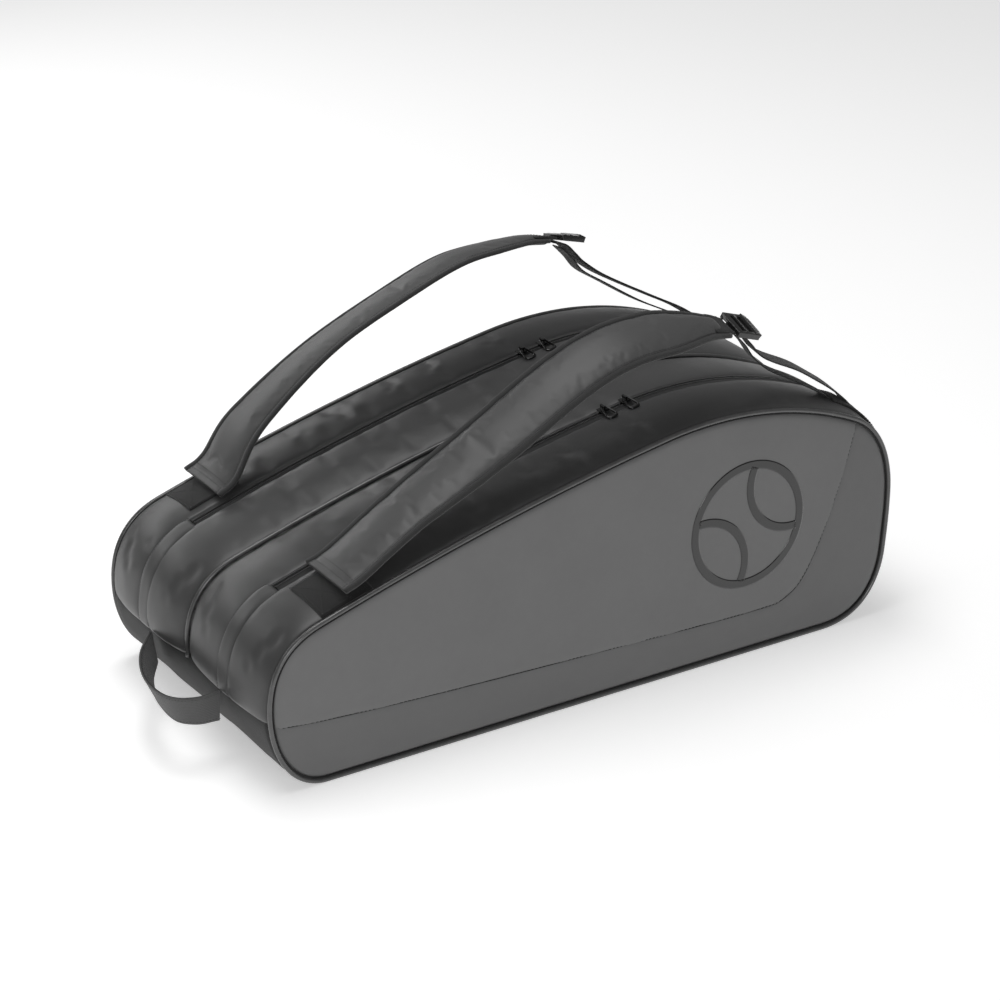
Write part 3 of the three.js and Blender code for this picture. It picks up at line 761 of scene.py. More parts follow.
# %% Finding a finished surface
class Surface:
    """A finished piece that later pieces and stitches are laid on."""

    def __init__(self, piece):
        self.tree = BVHTree.FromPolygons(
            [v.co for v in piece.data.vertices], [p.vertices for p in piece.data.polygons],
        )

    def under(self, points, inward, lift=0.0, reach=30 * MM):
        """Where lines that run inward through the points meet the surface, raised by lift."""
        flat = points.reshape(-1, 3)
        ways = np.broadcast_to(inward, points.shape).reshape(-1, 3)
        found = []
        for point, way in zip(flat, ways):
            hit = self.tree.ray_cast(Vector(point - way * reach), Vector(way), 3 * reach)[0]
            found.append(point if hit is None else np.array(hit) - way * lift)
        return np.array(found).reshape(points.shape)


# %% [markdown]
# ## Covers
# Each cover is a large padded panel in two cloths: a matte main field, and a slightly glossier lower
# field that turns up at the head end. The seam between them is one smooth curve. Each field is a
# lens-shaped patch: straight rulings run from the seam to the outline, so the seam and the edge are
# exact lines of the mesh. The edges dive down against the piping, and the foam pillows the middle.

# %% The seam and the fields' surface
PANEL_Y = 175 * MM
FIELD_EDGE = 6.0 * MM  # how far the fields' edges stay inside the outline
FIELD_THICKNESS = 2.4 * MM
SEAM = np.array([
    (-400, 78), (-330, 72), (-200, 64), (0, 56), (200, 50), (248, 57), (276, 88), (310, 168), (352, 300),
]) * MM


def even_curve(points, count):
    """A smooth curve through points at even steps, as the pattern for a seam."""
    table = np.asarray(points, float)[:, None]
    table = np.concatenate([table, table], 1)
    fine = finer(table, 40)[:, 0]
    steps = np.linalg.norm(np.diff(fine, axis=0), axis=1)
    distance = np.concatenate([[0], np.cumsum(steps)])
    spots = np.linspace(0, distance[-1], count)
    return np.stack([np.interp(spots, distance, fine[:, k]) for k in range(fine.shape[1])], 1)


seam_line = even_curve(SEAM, 800)
seam_inset, _ = inset_of(seam_line[:, 0], seam_line[:, 1])
seam_line = seam_line[seam_inset > FIELD_EDGE]
seam_ends = [inset_of(*seam_line[k])[1] for k in (0, -1)]


def seam_gap(x, z):
    """How far a point is from the seam."""
    sparse = seam_line[::4]
    return np.hypot(np.subtract.outer(x, sparse[:, 0]), np.subtract.outer(z, sparse[:, 1])).min(-1)


def pillow(inset):
    """How far the foam raises a field, by how far the point is inside the outline."""
    inside = np.maximum(inset - FIELD_EDGE, 0)
    edge = 3.2 * MM * (1 - np.exp(-inside / (2.6 * MM)))
    middle = 3.2 * MM * (1 - np.exp(-inside / (40 * MM)))
    return edge + middle - 3.2 * MM


def field_detail(x, z, inset, seed):
    """Waves of the skin, puckers along its edges and the dip at the seam."""
    points = np.stack([x, np.full_like(x, seed), z], -1)
    inside = np.maximum(inset - FIELD_EDGE, 0)
    gap = seam_gap(x, z)
    waves = ripple(points * [0.7, 1, 1], 120 * MM, seed) * 0.9 * MM * fade(inside / (50 * MM))
    edge_pucker = ripple(points, 15 * MM, seed + 7) * np.exp(-inside / (13 * MM)) * 0.5 * MM
    seam_pucker = ripple(points, 17 * MM, seed + 13) * np.exp(-gap / (9 * MM)) * 0.35 * MM
    groove = np.exp(-gap / (1.7 * MM)) * 1.1 * MM
    return waves + (edge_pucker + seam_pucker) * fade(inside / (4 * MM)) - groove


def ruled(lower, upper, cols):
    """Straight rulings from one curve to another, closer together near both."""
    t = np.linspace(0, 1, cols)
    t = (0.5 * t + 0.25 * (1 - np.cos(math.pi * t)))[None, :, None]
    return lower[:, None] * (1 - t) + upper[:, None] * t


COARSE = 7.5 * MM
FINE_TIMES = 3


def make_field(name, lower, upper, side, finish, nodes, seed):
    widest = np.linalg.norm(upper - lower, axis=1).max()
    flat = ruled(lower, upper, max(8, int(widest / COARSE)))
    x, z = flat[..., 0], flat[..., 1]
    inset, _ = inset_of(x, z)
    points = np.stack([x, side * (PANEL_Y + pillow(inset)), z], -1)
    held = np.zeros(x.shape, bool)
    held[:, [0, -1]] = True
    held[[0, 1, -2, -1]] = True
    points = swell(points, held, 1.6, 0.004, 2.5 * MM, flip=side > 0)
    points = finer(points, FINE_TIMES)
    x, z = points[..., 0], points[..., 2]
    points[..., 1] += side * field_detail(x, z, inset_of(x, z)[0], seed + side)
    if side > 0:
        points = points[:, ::-1]
    field = weld(thicken(grid_piece(name, points, points[..., 0], points[..., 2]), FIELD_THICKNESS))
    dress(field, finish, nodes)
    return field


def cover_blend(piece, side):
    """Bakes a piece's placement into its mesh. The cover turns about the fold, the line 80 mm up, but the
    piece is not bent there.
    """
    y = side * HALF_WIDTH
    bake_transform(piece)


print("points on the field seam", len(seam_line))


# %% Main and lower fields
FIELD_ROWS = 116


def edge_curve(start, end, rows, inset):
    return outline.lifted(np.linspace(start, end, rows), 0.0, -inset)[:, [0, 2]]


seam_rows = seam_line[np.linspace(0, len(seam_line) - 1, FIELD_ROWS).round().astype(int)]
upper_edge = edge_curve(seam_ends[0] % outline.length, seam_ends[1], FIELD_ROWS, FIELD_EDGE)
lower_edge = edge_curve(seam_ends[0] % outline.length + outline.length, seam_ends[1], FIELD_ROWS, FIELD_EDGE)
if seam_ends[0] > outline.length / 2:
    upper_edge = edge_curve(seam_ends[0] - outline.length, seam_ends[1], FIELD_ROWS, FIELD_EDGE)
    lower_edge = edge_curve(seam_ends[0], seam_ends[1], FIELD_ROWS, FIELD_EDGE)
seam_rows[[0, -1]] = upper_edge[[0, -1]]
fields = {}
for name, side in (("front", -1), ("rear", 1)):
    main = make_field(
        f"{name}_main_field", seam_rows, upper_edge, side, "panel", [f"{name}_main_panel"], 3,
    )
    lower = make_field(
        f"{name}_lower_field", lower_edge, seam_rows, side, "lower",
        [f"{name}_lower_panel", f"{name}_head_panel"], 5,
    )
    fields[name] = (Surface(main), Surface(lower))
    for field in (main, lower):
        cover_blend(field, side)
    print(name, "fields", len(main.data.polygons), len(lower.data.polygons), "faces")


# %% [markdown]
# ## Piping
# Piping is a cord wrapped in cloth and caught in the seam round each cover, with a third one down the
# middle of the bag. A round section swept along the outline makes it. A thin black cord beside it, and
# another along the seam between the two fields, are painted shade: they darken the gaps where the seams
# sink in.

# %% Piping loops and the centre piping
PIPING_RADIUS = 2.5 * MM


def closed_loop(name, y, inset, radius, corners, seed=0.0, uneven=0.0):
    """A round section swept once round the outline, and joined up."""
    count = int(outline.length / (3.5 * MM))
    frames = outline.frames(np.linspace(0, outline.length, count + 1), y, -inset)
    wobble = 1 + uneven * ripple(frames.centre, 30 * MM, seed)[:, None]
    wobble[-1] = wobble[0]
    frames = Frames(frames.centre, frames.side * wobble, frames.up * wobble)
    piece = swept(name, frames, round_section(radius, corners))
    work = bmesh.new()
    work.from_mesh(piece.data)
    caps = [face for face in work.faces if len(face.verts) > 4]
    bmesh.ops.delete(work, geom=caps, context="FACES_ONLY")
    bmesh.ops.remove_doubles(work, verts=work.verts, dist=0.01 * MM)
    work.to_mesh(piece.data)
    work.free()
    return piece


SEAM_SHADE_RADIUS = 1.3 * MM
for name, side in (("front", -1), ("rear", 1)):
    y = side * (HALF_WIDTH - PIPING_RADIUS)
    loop = closed_loop(f"{name}_piping_loop", y, PIPING_RADIUS, PIPING_RADIUS, 12, 4.0 + side, 0.05)
    dress(loop, "piping", [f"{name}_piping", f"{name}_lower_piping"])
    cover_blend(loop, side)
    # A near-black cord in the gap between piping and field: painted shade there.
    seam_shade_loop = closed_loop(f"{name}_seam_shade_cord", y + side * 0.2 * MM, 5.9 * MM, SEAM_SHADE_RADIUS, 6)
    dress(seam_shade_loop, "seam")
    cover_blend(seam_shade_loop, side)
    # A near-black cord sunk into the seam between the two fields: painted shade in its groove.
    inset, _ = inset_of(seam_rows[:, 0], seam_rows[:, 1])
    sunk = side * (PANEL_Y + pillow(inset) - 0.9 * MM)
    centre = np.stack([seam_rows[:, 0], sunk, seam_rows[:, 1]], 1)
    way = tangents(centre)
    out = np.tile([0.0, side, 0.0], (len(centre), 1))
    cord = swept(f"{name}_field_seam_shade", Frames(centre, np.cross(out, way), out), round_section(0.6 * MM, 6))
    dress(cord, "seam")
    cover_blend(cord, side)
whole_run = np.linspace(1 * MM, over_top.length - 1 * MM, 330)
dress(
    swept("centre_bead", over_top.frames(whole_run, 0.0, -1 * MM), round_section(PIPING_RADIUS)),
    "piping", ["centre_piping"], "bag_body",
)
tell("piping")

# %% [markdown]
# ## Gusset bands
# Each top band is a long strip of coated cloth over thin foam, sewn to the piping on one side and to
# the zip tape on the other. Tension crowns it, and the seams pull it down and pucker it. The crown is
# a parabola, the seam dips are exponentials, and noise stretched along the band gives the puckers.

# %% The crowned bands
CROWN_HEIGHT = 5 * MM
CROWN_DIP = 7 * MM
PIPING_EDGE = 170.8 * MM
INNER_EDGE = 4.2 * MM  # how close the inner bands come to the zip's middle
OUTER_EDGE = 7.5 * MM
BAND_THICKNESS = 2.2 * MM


def band_level(y):
    return CROWN_HEIGHT - CROWN_DIP * ((np.abs(y) - ZIP_Y) / (HALF_WIDTH - ZIP_Y)) ** 2


def seam_pull(gap, points, seed):
    """How far a seam pulls the cloth in, by distance from it, with puckers that fade away from it."""
    dip = np.exp(-gap / (2.4 * MM)) * 1.6 * MM
    pucker = ripple(points * [1, 0.3, 1], 12 * MM, seed) * np.exp(-gap / (12 * MM)) * 0.55 * MM
    return dip + pucker


def make_band(name, y_from, y_to, nodes, seed):
    """A band between two values of y, which rise along +Y."""
    rows, cols = 100, 9
    distance = np.repeat(np.linspace(0.4 * MM, over_top.length - 0.4 * MM, rows)[:, None], cols, 1)
    y = np.repeat(np.linspace(y_from, y_to, cols)[None], rows, 0)
    middle = np.sin(math.pi * np.linspace(0, 1, cols))[None]
    points = over_top.lifted(distance, y, band_level(y) + 1.4 * MM * middle)
    held = np.zeros((rows, cols), bool)
    held[:, [0, -1]] = True
    held[[0, -1]] = True
    points = swell(points, held, 1.4, 0.0028, 1.8 * MM)
    points = finer(points, FINE_TIMES)
    distance = finer(distance, FINE_TIMES)
    share = np.linspace(0, 1, points.shape[1])[None]
    width = y_to - y_from
    middle = np.sin(math.pi * share)
    waves = ripple(points * [0.8, 1, 1], 80 * MM, seed + 3.1) * 1.1 * MM * middle
    ends = np.minimum(distance, over_top.length - distance)
    creases = ripple(points * [1, 0.5, 1], 24 * MM, seed + 9.7) * 0.9 * MM * middle
    waves = waves + creases * (0.25 + 0.75 * np.exp(-ends / (90 * MM)))
    pull = seam_pull(share * width, points, seed) + seam_pull((1 - share) * width, points, seed + 5.5)
    pull = pull + np.exp(-ends / (3 * MM)) * 1.6 * MM
    way = over_top.tangent(distance)
    up = np.stack([-way[..., 1], 0 * way[..., 1], way[..., 0]], -1)
    points = points + up * (waves - pull)[..., None]
    across = np.repeat(share * width, len(points), 0)
    piece = thicken(grid_piece(name, points, across, distance), BAND_THICKNESS)
    return dress(piece, "band", nodes)


# A band would fold along a slant: by the piping with the panel, by the zip only at the zip's end. These are
# the slant's two ends; the bands are not bent along it.
BAND_FOLD_LOW = (0.171, 0.074)
BAND_FOLD_HIGH = (0.1835, 0.0973)
CENTRE_GAP = 3.0 * MM
bands = {}
for name, side in (("front", -1), ("rear", 1)):
    near, far = sorted([side * CENTRE_GAP, side * (ZIP_Y - INNER_EDGE)])
    inner = make_band(f"{name}_inner_band", near, far, [f"{name}_inner_gusset"], 11 + side)
    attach(inner, "bag_body")
    near, far = sorted([side * (ZIP_Y + OUTER_EDGE), side * PIPING_EDGE])
    outer = make_band(f"{name}_outer_band", near, far, [f"{name}_outer_gusset"], 31 + side)
    bands[name] = (Surface(inner), Surface(outer))
    start, end = ((0, side * y, z) for y, z in (BAND_FOLD_LOW, BAND_FOLD_HIGH))
    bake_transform(outer)
tell("bands")

# %% [markdown]
# ## Base
# The base is one strip of tough ripstop that wraps up both ends and runs on a little under the bands,
# so no light shows through the seam. It is a grid along the lower part of the outline, with shallow
# creases where it bends round the toes.

# %% The base wrap
rows, cols = 156, 40
TUCK = 6 * MM  # how far each end of the wrap runs on under the bands
distance = np.repeat(np.linspace(-TUCK, under_base.length + TUCK, rows)[:, None], cols, 1)
y = np.repeat(np.linspace(-PIPING_EDGE, PIPING_EDGE, cols)[None], rows, 0)
flat = outline.lifted(over_top.length + distance, y, 0 * y)
ends = np.minimum(distance, under_base.length - distance)
edge = np.minimum(PIPING_EDGE - np.abs(y), 60 * MM)
loose = np.exp(-((ends - 65 * MM) / (45 * MM)) ** 2) * fade(edge / (20 * MM))
crease = -np.abs(ripple(flat * [1, 0.35, 1], 26 * MM, 8.3)) * 1.8 * MM * loose
dip = np.exp(-np.maximum(ends, 0) / (3 * MM)) * 1.2 * MM + np.exp(-edge / (3 * MM)) * 0.8 * MM
dip = dip + fade(-ends / (2 * MM)) * 2.6 * MM
points = outline.lifted(over_top.length + distance, y, crease - dip)
wrap = thicken(grid_piece("base_wrap", points, y, distance), 2.2 * MM)
dress(wrap, "ripstop", ["base_shell"], "bag_body")
tell("base")

# %% [markdown]
# ## Zips
# A coil zip runs along the top of each compartment. Each half is a ribbed tape, with a row of small
# nylon coils along its inner edge. The coils repeat some four hundred times a row, so they come from
# Geometry Nodes: a guide line is resampled at the coil's pitch, and one small bead is placed on each
# point, turned by the line's own direction and by a stored outward direction. The same tree sews
# every row of stitches, with a longer pitch and a slimmer bead.

# %% The node tree for beads along a line
def bead_tree():
    tree = bpy.data.node_groups.new("beads_along_line", "GeometryNodeTree")
    face = tree.interface
    face.new_socket("Line", in_out="INPUT", socket_type="NodeSocketGeometry")
    face.new_socket("Pitch", in_out="INPUT", socket_type="NodeSocketFloat")
    face.new_socket("Size", in_out="INPUT", socket_type="NodeSocketVector")
    face.new_socket("Finish", in_out="INPUT", socket_type="NodeSocketMaterial")
    face.new_socket("Beads", in_out="OUTPUT", socket_type="NodeSocketGeometry")

    def add(kind, settings=None, inputs=None):
        node = tree.nodes.new(kind)
        for key, setting in (settings or {}).items():
            setattr(node, key, setting)
        for key, given in (inputs or {}).items():
            if isinstance(given, bpy.types.NodeSocket):
                tree.links.new(given, node.inputs[key])
            else:
                node.inputs[key].default_value = given
        return node

    given = add("NodeGroupInput").outputs
    curve = add("GeometryNodeMeshToCurve", inputs={"Mesh": given["Line"]}).outputs[0]
    spaced = add(
        "GeometryNodeResampleCurve", {"mode": "LENGTH"}, {"Curve": curve, "Length": given["Pitch"]},
    ).outputs[0]
    outward = add(
        "GeometryNodeInputNamedAttribute", {"data_type": "FLOAT_VECTOR"}, {"Name": "outward"},
    ).outputs[0]
    along = add("GeometryNodeInputTangent").outputs[0]
    turn = add(
        "FunctionNodeAxesToRotation", {"primary_axis": "X", "secondary_axis": "Z"},
        {"Primary Axis": along, "Secondary Axis": outward},
    ).outputs[0]
    bead = add(
        "GeometryNodeMeshUVSphere", inputs={"Segments": 6, "Rings": 4, "Radius": 0.5},
    ).outputs[0]
    placed = add("GeometryNodeInstanceOnPoints", inputs={
        "Points": spaced, "Instance": bead, "Rotation": turn, "Scale": given["Size"],
    }).outputs[0]
    real = add("GeometryNodeRealizeInstances", inputs={"Geometry": placed}).outputs[0]
    painted = add(
        "GeometryNodeSetMaterial", inputs={"Geometry": real, "Material": given["Finish"]},
    ).outputs[0]
    add("NodeGroupOutput", inputs={"Beads": painted})
    return tree


BEADS = bead_tree()


def beads(name, lines, pitch, size, finish):
    """One mesh of beads along lines, each a pair of tables: its points and their outward ways."""
    points = np.concatenate([line for line, _ in lines])
    outward = np.concatenate([np.broadcast_to(way, line.shape) for line, way in lines])
    edges = []
    first = 0
    for line, _ in lines:
        edges += [(first + k, first + k + 1) for k in range(len(line) - 1)]
        first += len(line)
    mesh = bpy.data.meshes.new(name)
    mesh.from_pydata(points.tolist(), edges, [])
    stored = mesh.attributes.new("outward", "FLOAT_VECTOR", "POINT")
    stored.data.foreach_set("vector", outward.ravel())
    piece = bpy.data.objects.new(name, mesh)
    modifier = piece.modifiers.new("beads", "NODES")
    modifier.node_group = BEADS
    sockets = {item.name: item.identifier for item in BEADS.interface.items_tree}
    modifier[sockets["Pitch"]] = pitch
    modifier[sockets["Size"]] = size
    modifier[sockets["Finish"]] = FINISHES[finish]
    scene.collection.objects.link(piece)
    baked(piece)
    piece.data.polygons.foreach_set("use_smooth", [True] * len(piece.data.polygons))
    return dress(piece, finish)


STITCH_PITCH = 3.4 * MM
STITCH_SIZE = (2.6 * MM, 0.8 * MM, 0.55 * MM)


def stitches(name, lines, size=STITCH_SIZE):
    return beads(name, lines, STITCH_PITCH, size, "thread")


print("stitch pitch", STITCH_PITCH, "m")


# %% Tapes and coils
TAPE_LEVEL = 4.3 * MM
zip_start = over_top.distance_to(*slope[0])
zip_end = over_top.distance_to(*HEAD_BULGE)
tape_run = np.linspace(zip_start, zip_end, 230)


def outline_ways(distance):
    way = over_top.tangent(distance)
    return np.stack([-way[..., 1], 0 * way[..., 1], way[..., 0]], -1)


def strip_on_top(name, distance, y, level, thickness=1 * MM):
    """A thin strip over the top of the bag, from a row of y values and their levels."""
    table = np.repeat(distance[:, None], len(y), 1)
    ys = np.repeat(y[None], len(distance), 0)
    points = over_top.lifted(table, ys, np.broadcast_to(level, table.shape))
    return thicken(grid_piece(name, points, ys, table), thickness)


COIL_PITCH = 2.0 * MM
for name, side in (("front", -1), ("rear", 1)):
    for part, way in (("inner", -1), ("outer", 1)):
        y = side * (ZIP_Y + way * np.array([0.7, 4, 6, 9, 12, 13.9]) * MM)
        y.sort()
        edge = np.abs(np.abs(y) - ZIP_Y)
        level = TAPE_LEVEL - 0.9 * MM * fade((edge - 9 * MM) / (5 * MM)) + 0.3 * MM * (edge < 5 * MM)
        tape = strip_on_top(f"{name}_{part}_tape", tape_run, y, level)
        body = "bag_body" if part == "inner" else f"{name}_cover"
        dress(tape, "tape", [f"{name}_zip_{part}_tape"], body)
        centre_y = side * (ZIP_Y + way * 2.4 * MM)
        guide = over_top.lifted(tape_run, centre_y, TAPE_LEVEL + 0.7 * MM)
        coil = beads(
            f"{name}_{part}_coil", [(guide, outline_ways(tape_run))], COIL_PITCH,
            (1.7 * MM, 3.2 * MM, 1.6 * MM), "teeth",
        )
        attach(coil, body)
        edge_y = side * (ZIP_Y + way * 11.5 * MM)
        guide = over_top.lifted(tape_run, edge_y, TAPE_LEVEL - 0.25 * MM)
        sewn = stitches(f"{name}_{part}_tape_stitches", [(guide, outline_ways(tape_run))])
        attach(sewn, body)
tell("zips")

# %% [markdown]
# ## End strips
# Past each end of the zip a folded strip of cloth covers the slot, down to the base. It is stiff with
# layers, so it stands a little proud, with rounded edges and a row of stitches along both of them.

# %% The end strips
STRIP_HALF = 13.6 * MM
grip_run = np.linspace(1 * MM, zip_start - 1 * MM, 50)
head_run = np.linspace(zip_end + 1 * MM, over_top.length - 1 * MM, 30)
for name, side in (("front", -1), ("rear", 1)):
    for part, run in (("grip", grip_run), ("head", head_run)):
        y = side * ZIP_Y + np.linspace(-STRIP_HALF, STRIP_HALF, 15)
        off = np.abs(y - side * ZIP_Y) / STRIP_HALF
        level = 4.3 * MM + 1.6 * MM * (1 - off ** 4)
        ends = np.minimum(run - run[0], run[-1] - run)[:, None]
        level = level[None] - 1.4 * MM * np.exp(-ends / (3 * MM))
        place = over_top.lifted(run, side * ZIP_Y, 0)
        level = level + 0.5 * MM * ripple(place, 22 * MM, 2.2 + side)[:, None] * (1 - off ** 2)
        cover = strip_on_top(f"{name}_{part}_strip", run, y, level, 1.8 * MM)
        dress(cover, "band", [f"{name}_{part}_end_strip"], "bag_body")
        lines = [
            (over_top.lifted(run, side * ZIP_Y + edge * 10.5 * MM, 5.25 * MM), outline_ways(run))
            for edge in (-1, 1)
        ]
        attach(stitches(f"{name}_{part}_strip_stitches", lines), "bag_body")
tell("end strips")

# %% [markdown]
# ## Strap anchors
# Each shoulder strap starts at a black webbing patch, sewn flat to the band with a boxed cross, and
# ends at a folded ripstop tab on the head shoulder. Both lie on the finished band, so their points
# are dropped onto its surface instead of being worked out again.

# %% Anchor patches and tabs
STRAP_Y = 132 * MM
PATCH_START = over_top.distance_to(-323 * MM, 195 * MM)
PATCH_END = over_top.distance_to(-290 * MM, 205 * MM)


def on_band(name, distance, y, lift):
    """Points on the outer band at distances and values of y."""
    flat = over_top.lifted(distance, y, 0 * y)
    return bands[name][1].under(flat, -outline_ways(distance), lift)


def cross_stitches(corners):
    """A sewn box with a cross in it, from its four corners in turn."""
    a, b, c, d = corners
    return [np.linspace(p, q, 14) for p, q in ((a, b), (b, c), (c, d), (d, a), (a, c), (b, d))]


PATCH_THICKNESS = 1.6 * MM
for name, side in (("front", -1), ("rear", 1)):
    cols = 18
    y = np.sort(side * np.linspace(107 * MM, 169.5 * MM, cols))
    run = np.linspace(PATCH_START, PATCH_END + 25 * MM, 22)
    table = np.repeat(run[:, None], cols, 1)
    ys = np.repeat(y[None], len(run), 0)
    points = on_band(name, table, ys, PATCH_THICKNESS)
    patch = thicken(grid_piece(f"{name}_patch", points, ys, table), PATCH_THICKNESS)
    dress(patch, "webbing", [f"{name}_strap_patch"], f"{name}_cover")
    low, high = sorted([side * 110 * MM, side * 166 * MM])
    span = [(PATCH_START + 3 * MM, low), (PATCH_START + 3 * MM, high), (PATCH_END, high), (PATCH_END, low)]
    lines = []
    for line in cross_stitches([np.array(p) for p in span]):
        spots = on_band(name, line[:, 0], line[:, 1], PATCH_THICKNESS + 0.25 * MM)
        lines.append((spots, outline_ways(line[:, 0])))
    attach(stitches(f"{name}_patch_stitches", lines), f"{name}_cover")

    run = np.linspace(over_top.distance_to(322 * MM, 250 * MM), over_top.distance_to(382 * MM, 172 * MM), 30)
    share = np.linspace(0, 1, len(run))
    half = 15 * MM + 18 * MM * fade(share * 1.6)
    spread = np.linspace(-1, 1, 17)
    edge_low = -np.minimum(half, 37 * MM)
    edge_high = np.minimum(half, 26 * MM)
    off = edge_low[:, None] + (edge_high - edge_low)[:, None] * (spread[None] + 1) / 2
    ys = side * (STRAP_Y - off)
    ys.sort(axis=1)
    table = np.repeat(run[:, None], 17, 1)
    tab_lift = 2.4 * MM + 0.9 * MM * (1 - np.abs(spread[None]) ** 3) * np.sin(math.pi * share)[:, None]
    points = on_band(name, table, ys, 0.0) + outline_ways(table) * tab_lift[..., None]
    tab = thicken(grid_piece(f"{name}_shoulder_tab", points, ys, table), 2.4 * MM)
    dress(tab, "ripstop", [f"{name}_strap_tab"], f"{name}_cover")
    lines = []
    for col in (1, -2):
        lines.append((points[:, col] + outline_ways(run) * 0.2 * MM, outline_ways(run)))
    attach(stitches(f"{name}_shoulder_tab_stitches", lines), f"{name}_cover")
tell("anchors")

# %% [markdown]
# ## Shoulder straps
# A shoulder strap is a long foam pad in a sleeve: open mesh underneath, smooth cloth on top, and a
# narrow binding folded round both edges. It stands up in an arch, with a small roll that tips its
# outer edge down. Past the pad come a ripstop tab, a ladder buckle and two layers of webbing. One
# centre line a strap, in x and z, carries all of them.

# %% Strap centre lines
STRAPS = {
    "front": {
        "side": -1, "roll": math.radians(16),
        "pad": [
            (-293, 203), (-270, 212.5), (-206, 251), (-112, 299), (-17, 351),
            (45, 373), (100, 377), (148, 374), (184, 366),
        ],
        "tab": [(164, 374.5), (176, 371), (188, 366)],
        "buckle": [(192, 367), (210, 361)],
        "webbing": [
            (184, 366), (200, 359), (214, 345), (226, 331), (244, 319),
            (280, 300), (318, 274), (342, 253), (352, 240), (359, 227),
        ],
        "tail": [(198, 358), (210, 345), (222, 328), (242, 310), (280, 288), (312, 268), (334, 252)],
    },
    "rear": {
        "side": 1, "roll": math.radians(14),
        "pad": [
            (-293, 203), (-272, 216), (-238, 262), (-149, 325), (-51, 368),
            (10, 389), (55, 394), (100, 394), (130, 390),
        ],
        "tab": [(112, 397), (126, 395), (140, 391)],
        "buckle": [(145, 391), (163, 386)],
        "webbing": [
            (138, 388), (154, 382), (166, 370), (178, 357), (206, 336),
            (260, 304), (310, 276), (342, 253), (352, 240), (359, 227),
        ],
        "tail": [(152, 380), (166, 365), (180, 348), (208, 329), (257, 297), (303, 272), (334, 254)],
    },
}


def strap_frames(points, side, roll, count, share=None):
    """Frames along a strap. Share says how much of the roll each frame takes."""
    line = even_curve(np.array(points) * MM, count)
    centre = np.stack([line[:, 0], np.full(count, side * STRAP_Y), line[:, 1]], 1)
    way = tangents(centre)
    upright = np.stack([-way[:, 2], 0 * way[:, 0], way[:, 0]], 1)
    angle = (-side * roll * (np.ones(count) if share is None else share))[:, None]
    aside = np.array([0, 1, 0]) * np.cos(angle) + upright * np.sin(angle)
    return Frames(centre, aside, upright * np.cos(angle) - np.array([0, 1, 0]) * np.sin(angle))


WEBBING_WIDTH = 25 * MM
TAIL_WIDTH = 18 * MM
TAB_WIDTH = 35 * MM


def strap_blend(piece, name):
    """Bakes the piece's placement into its mesh. The pad's first part is not bent from the cover to the
    strap.
    """
    y = STRAPS[name]["side"] * STRAP_Y
    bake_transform(piece)


def webbing_blend(piece, name):
    """Bakes the piece's placement into its mesh. The webbing's last part, sewn down on the cover, is not
    bent from the strap back to it.
    """
    y = STRAPS[name]["side"] * STRAP_Y
    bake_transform(piece)


print("straps", list(STRAPS))


# %% Padded section
PAD_WIDTH = 75 * MM
PAD_ROOT_WIDTH = 84 * MM
PAD_TIP_WIDTH = 36 * MM
BINDING_WIDTH = 8 * MM
FLANGE = 2.0 * MM  # half the thickness of the pad's pressed edge
PAD_ROWS = 150


def pad_width(t):
    """Wide where it is sewn on, and tapering to the buckle."""
    body = PAD_ROOT_WIDTH + (PAD_WIDTH - PAD_ROOT_WIDTH) * np.minimum(1, t * 5)
    return body - (PAD_WIDTH - PAD_TIP_WIDTH) * fade((t - 0.83) / 0.19)


def pad_top(off, t):
    """The pad's top over its centre line, by how far off it is, from -1 to 1 across the face."""
    ends = fade(t / 0.035) * fade((1 - t) / 0.03)
    return FLANGE + 4.3 * MM * np.clip(1 - np.abs(off) ** 3.2, 0, 1) * ends


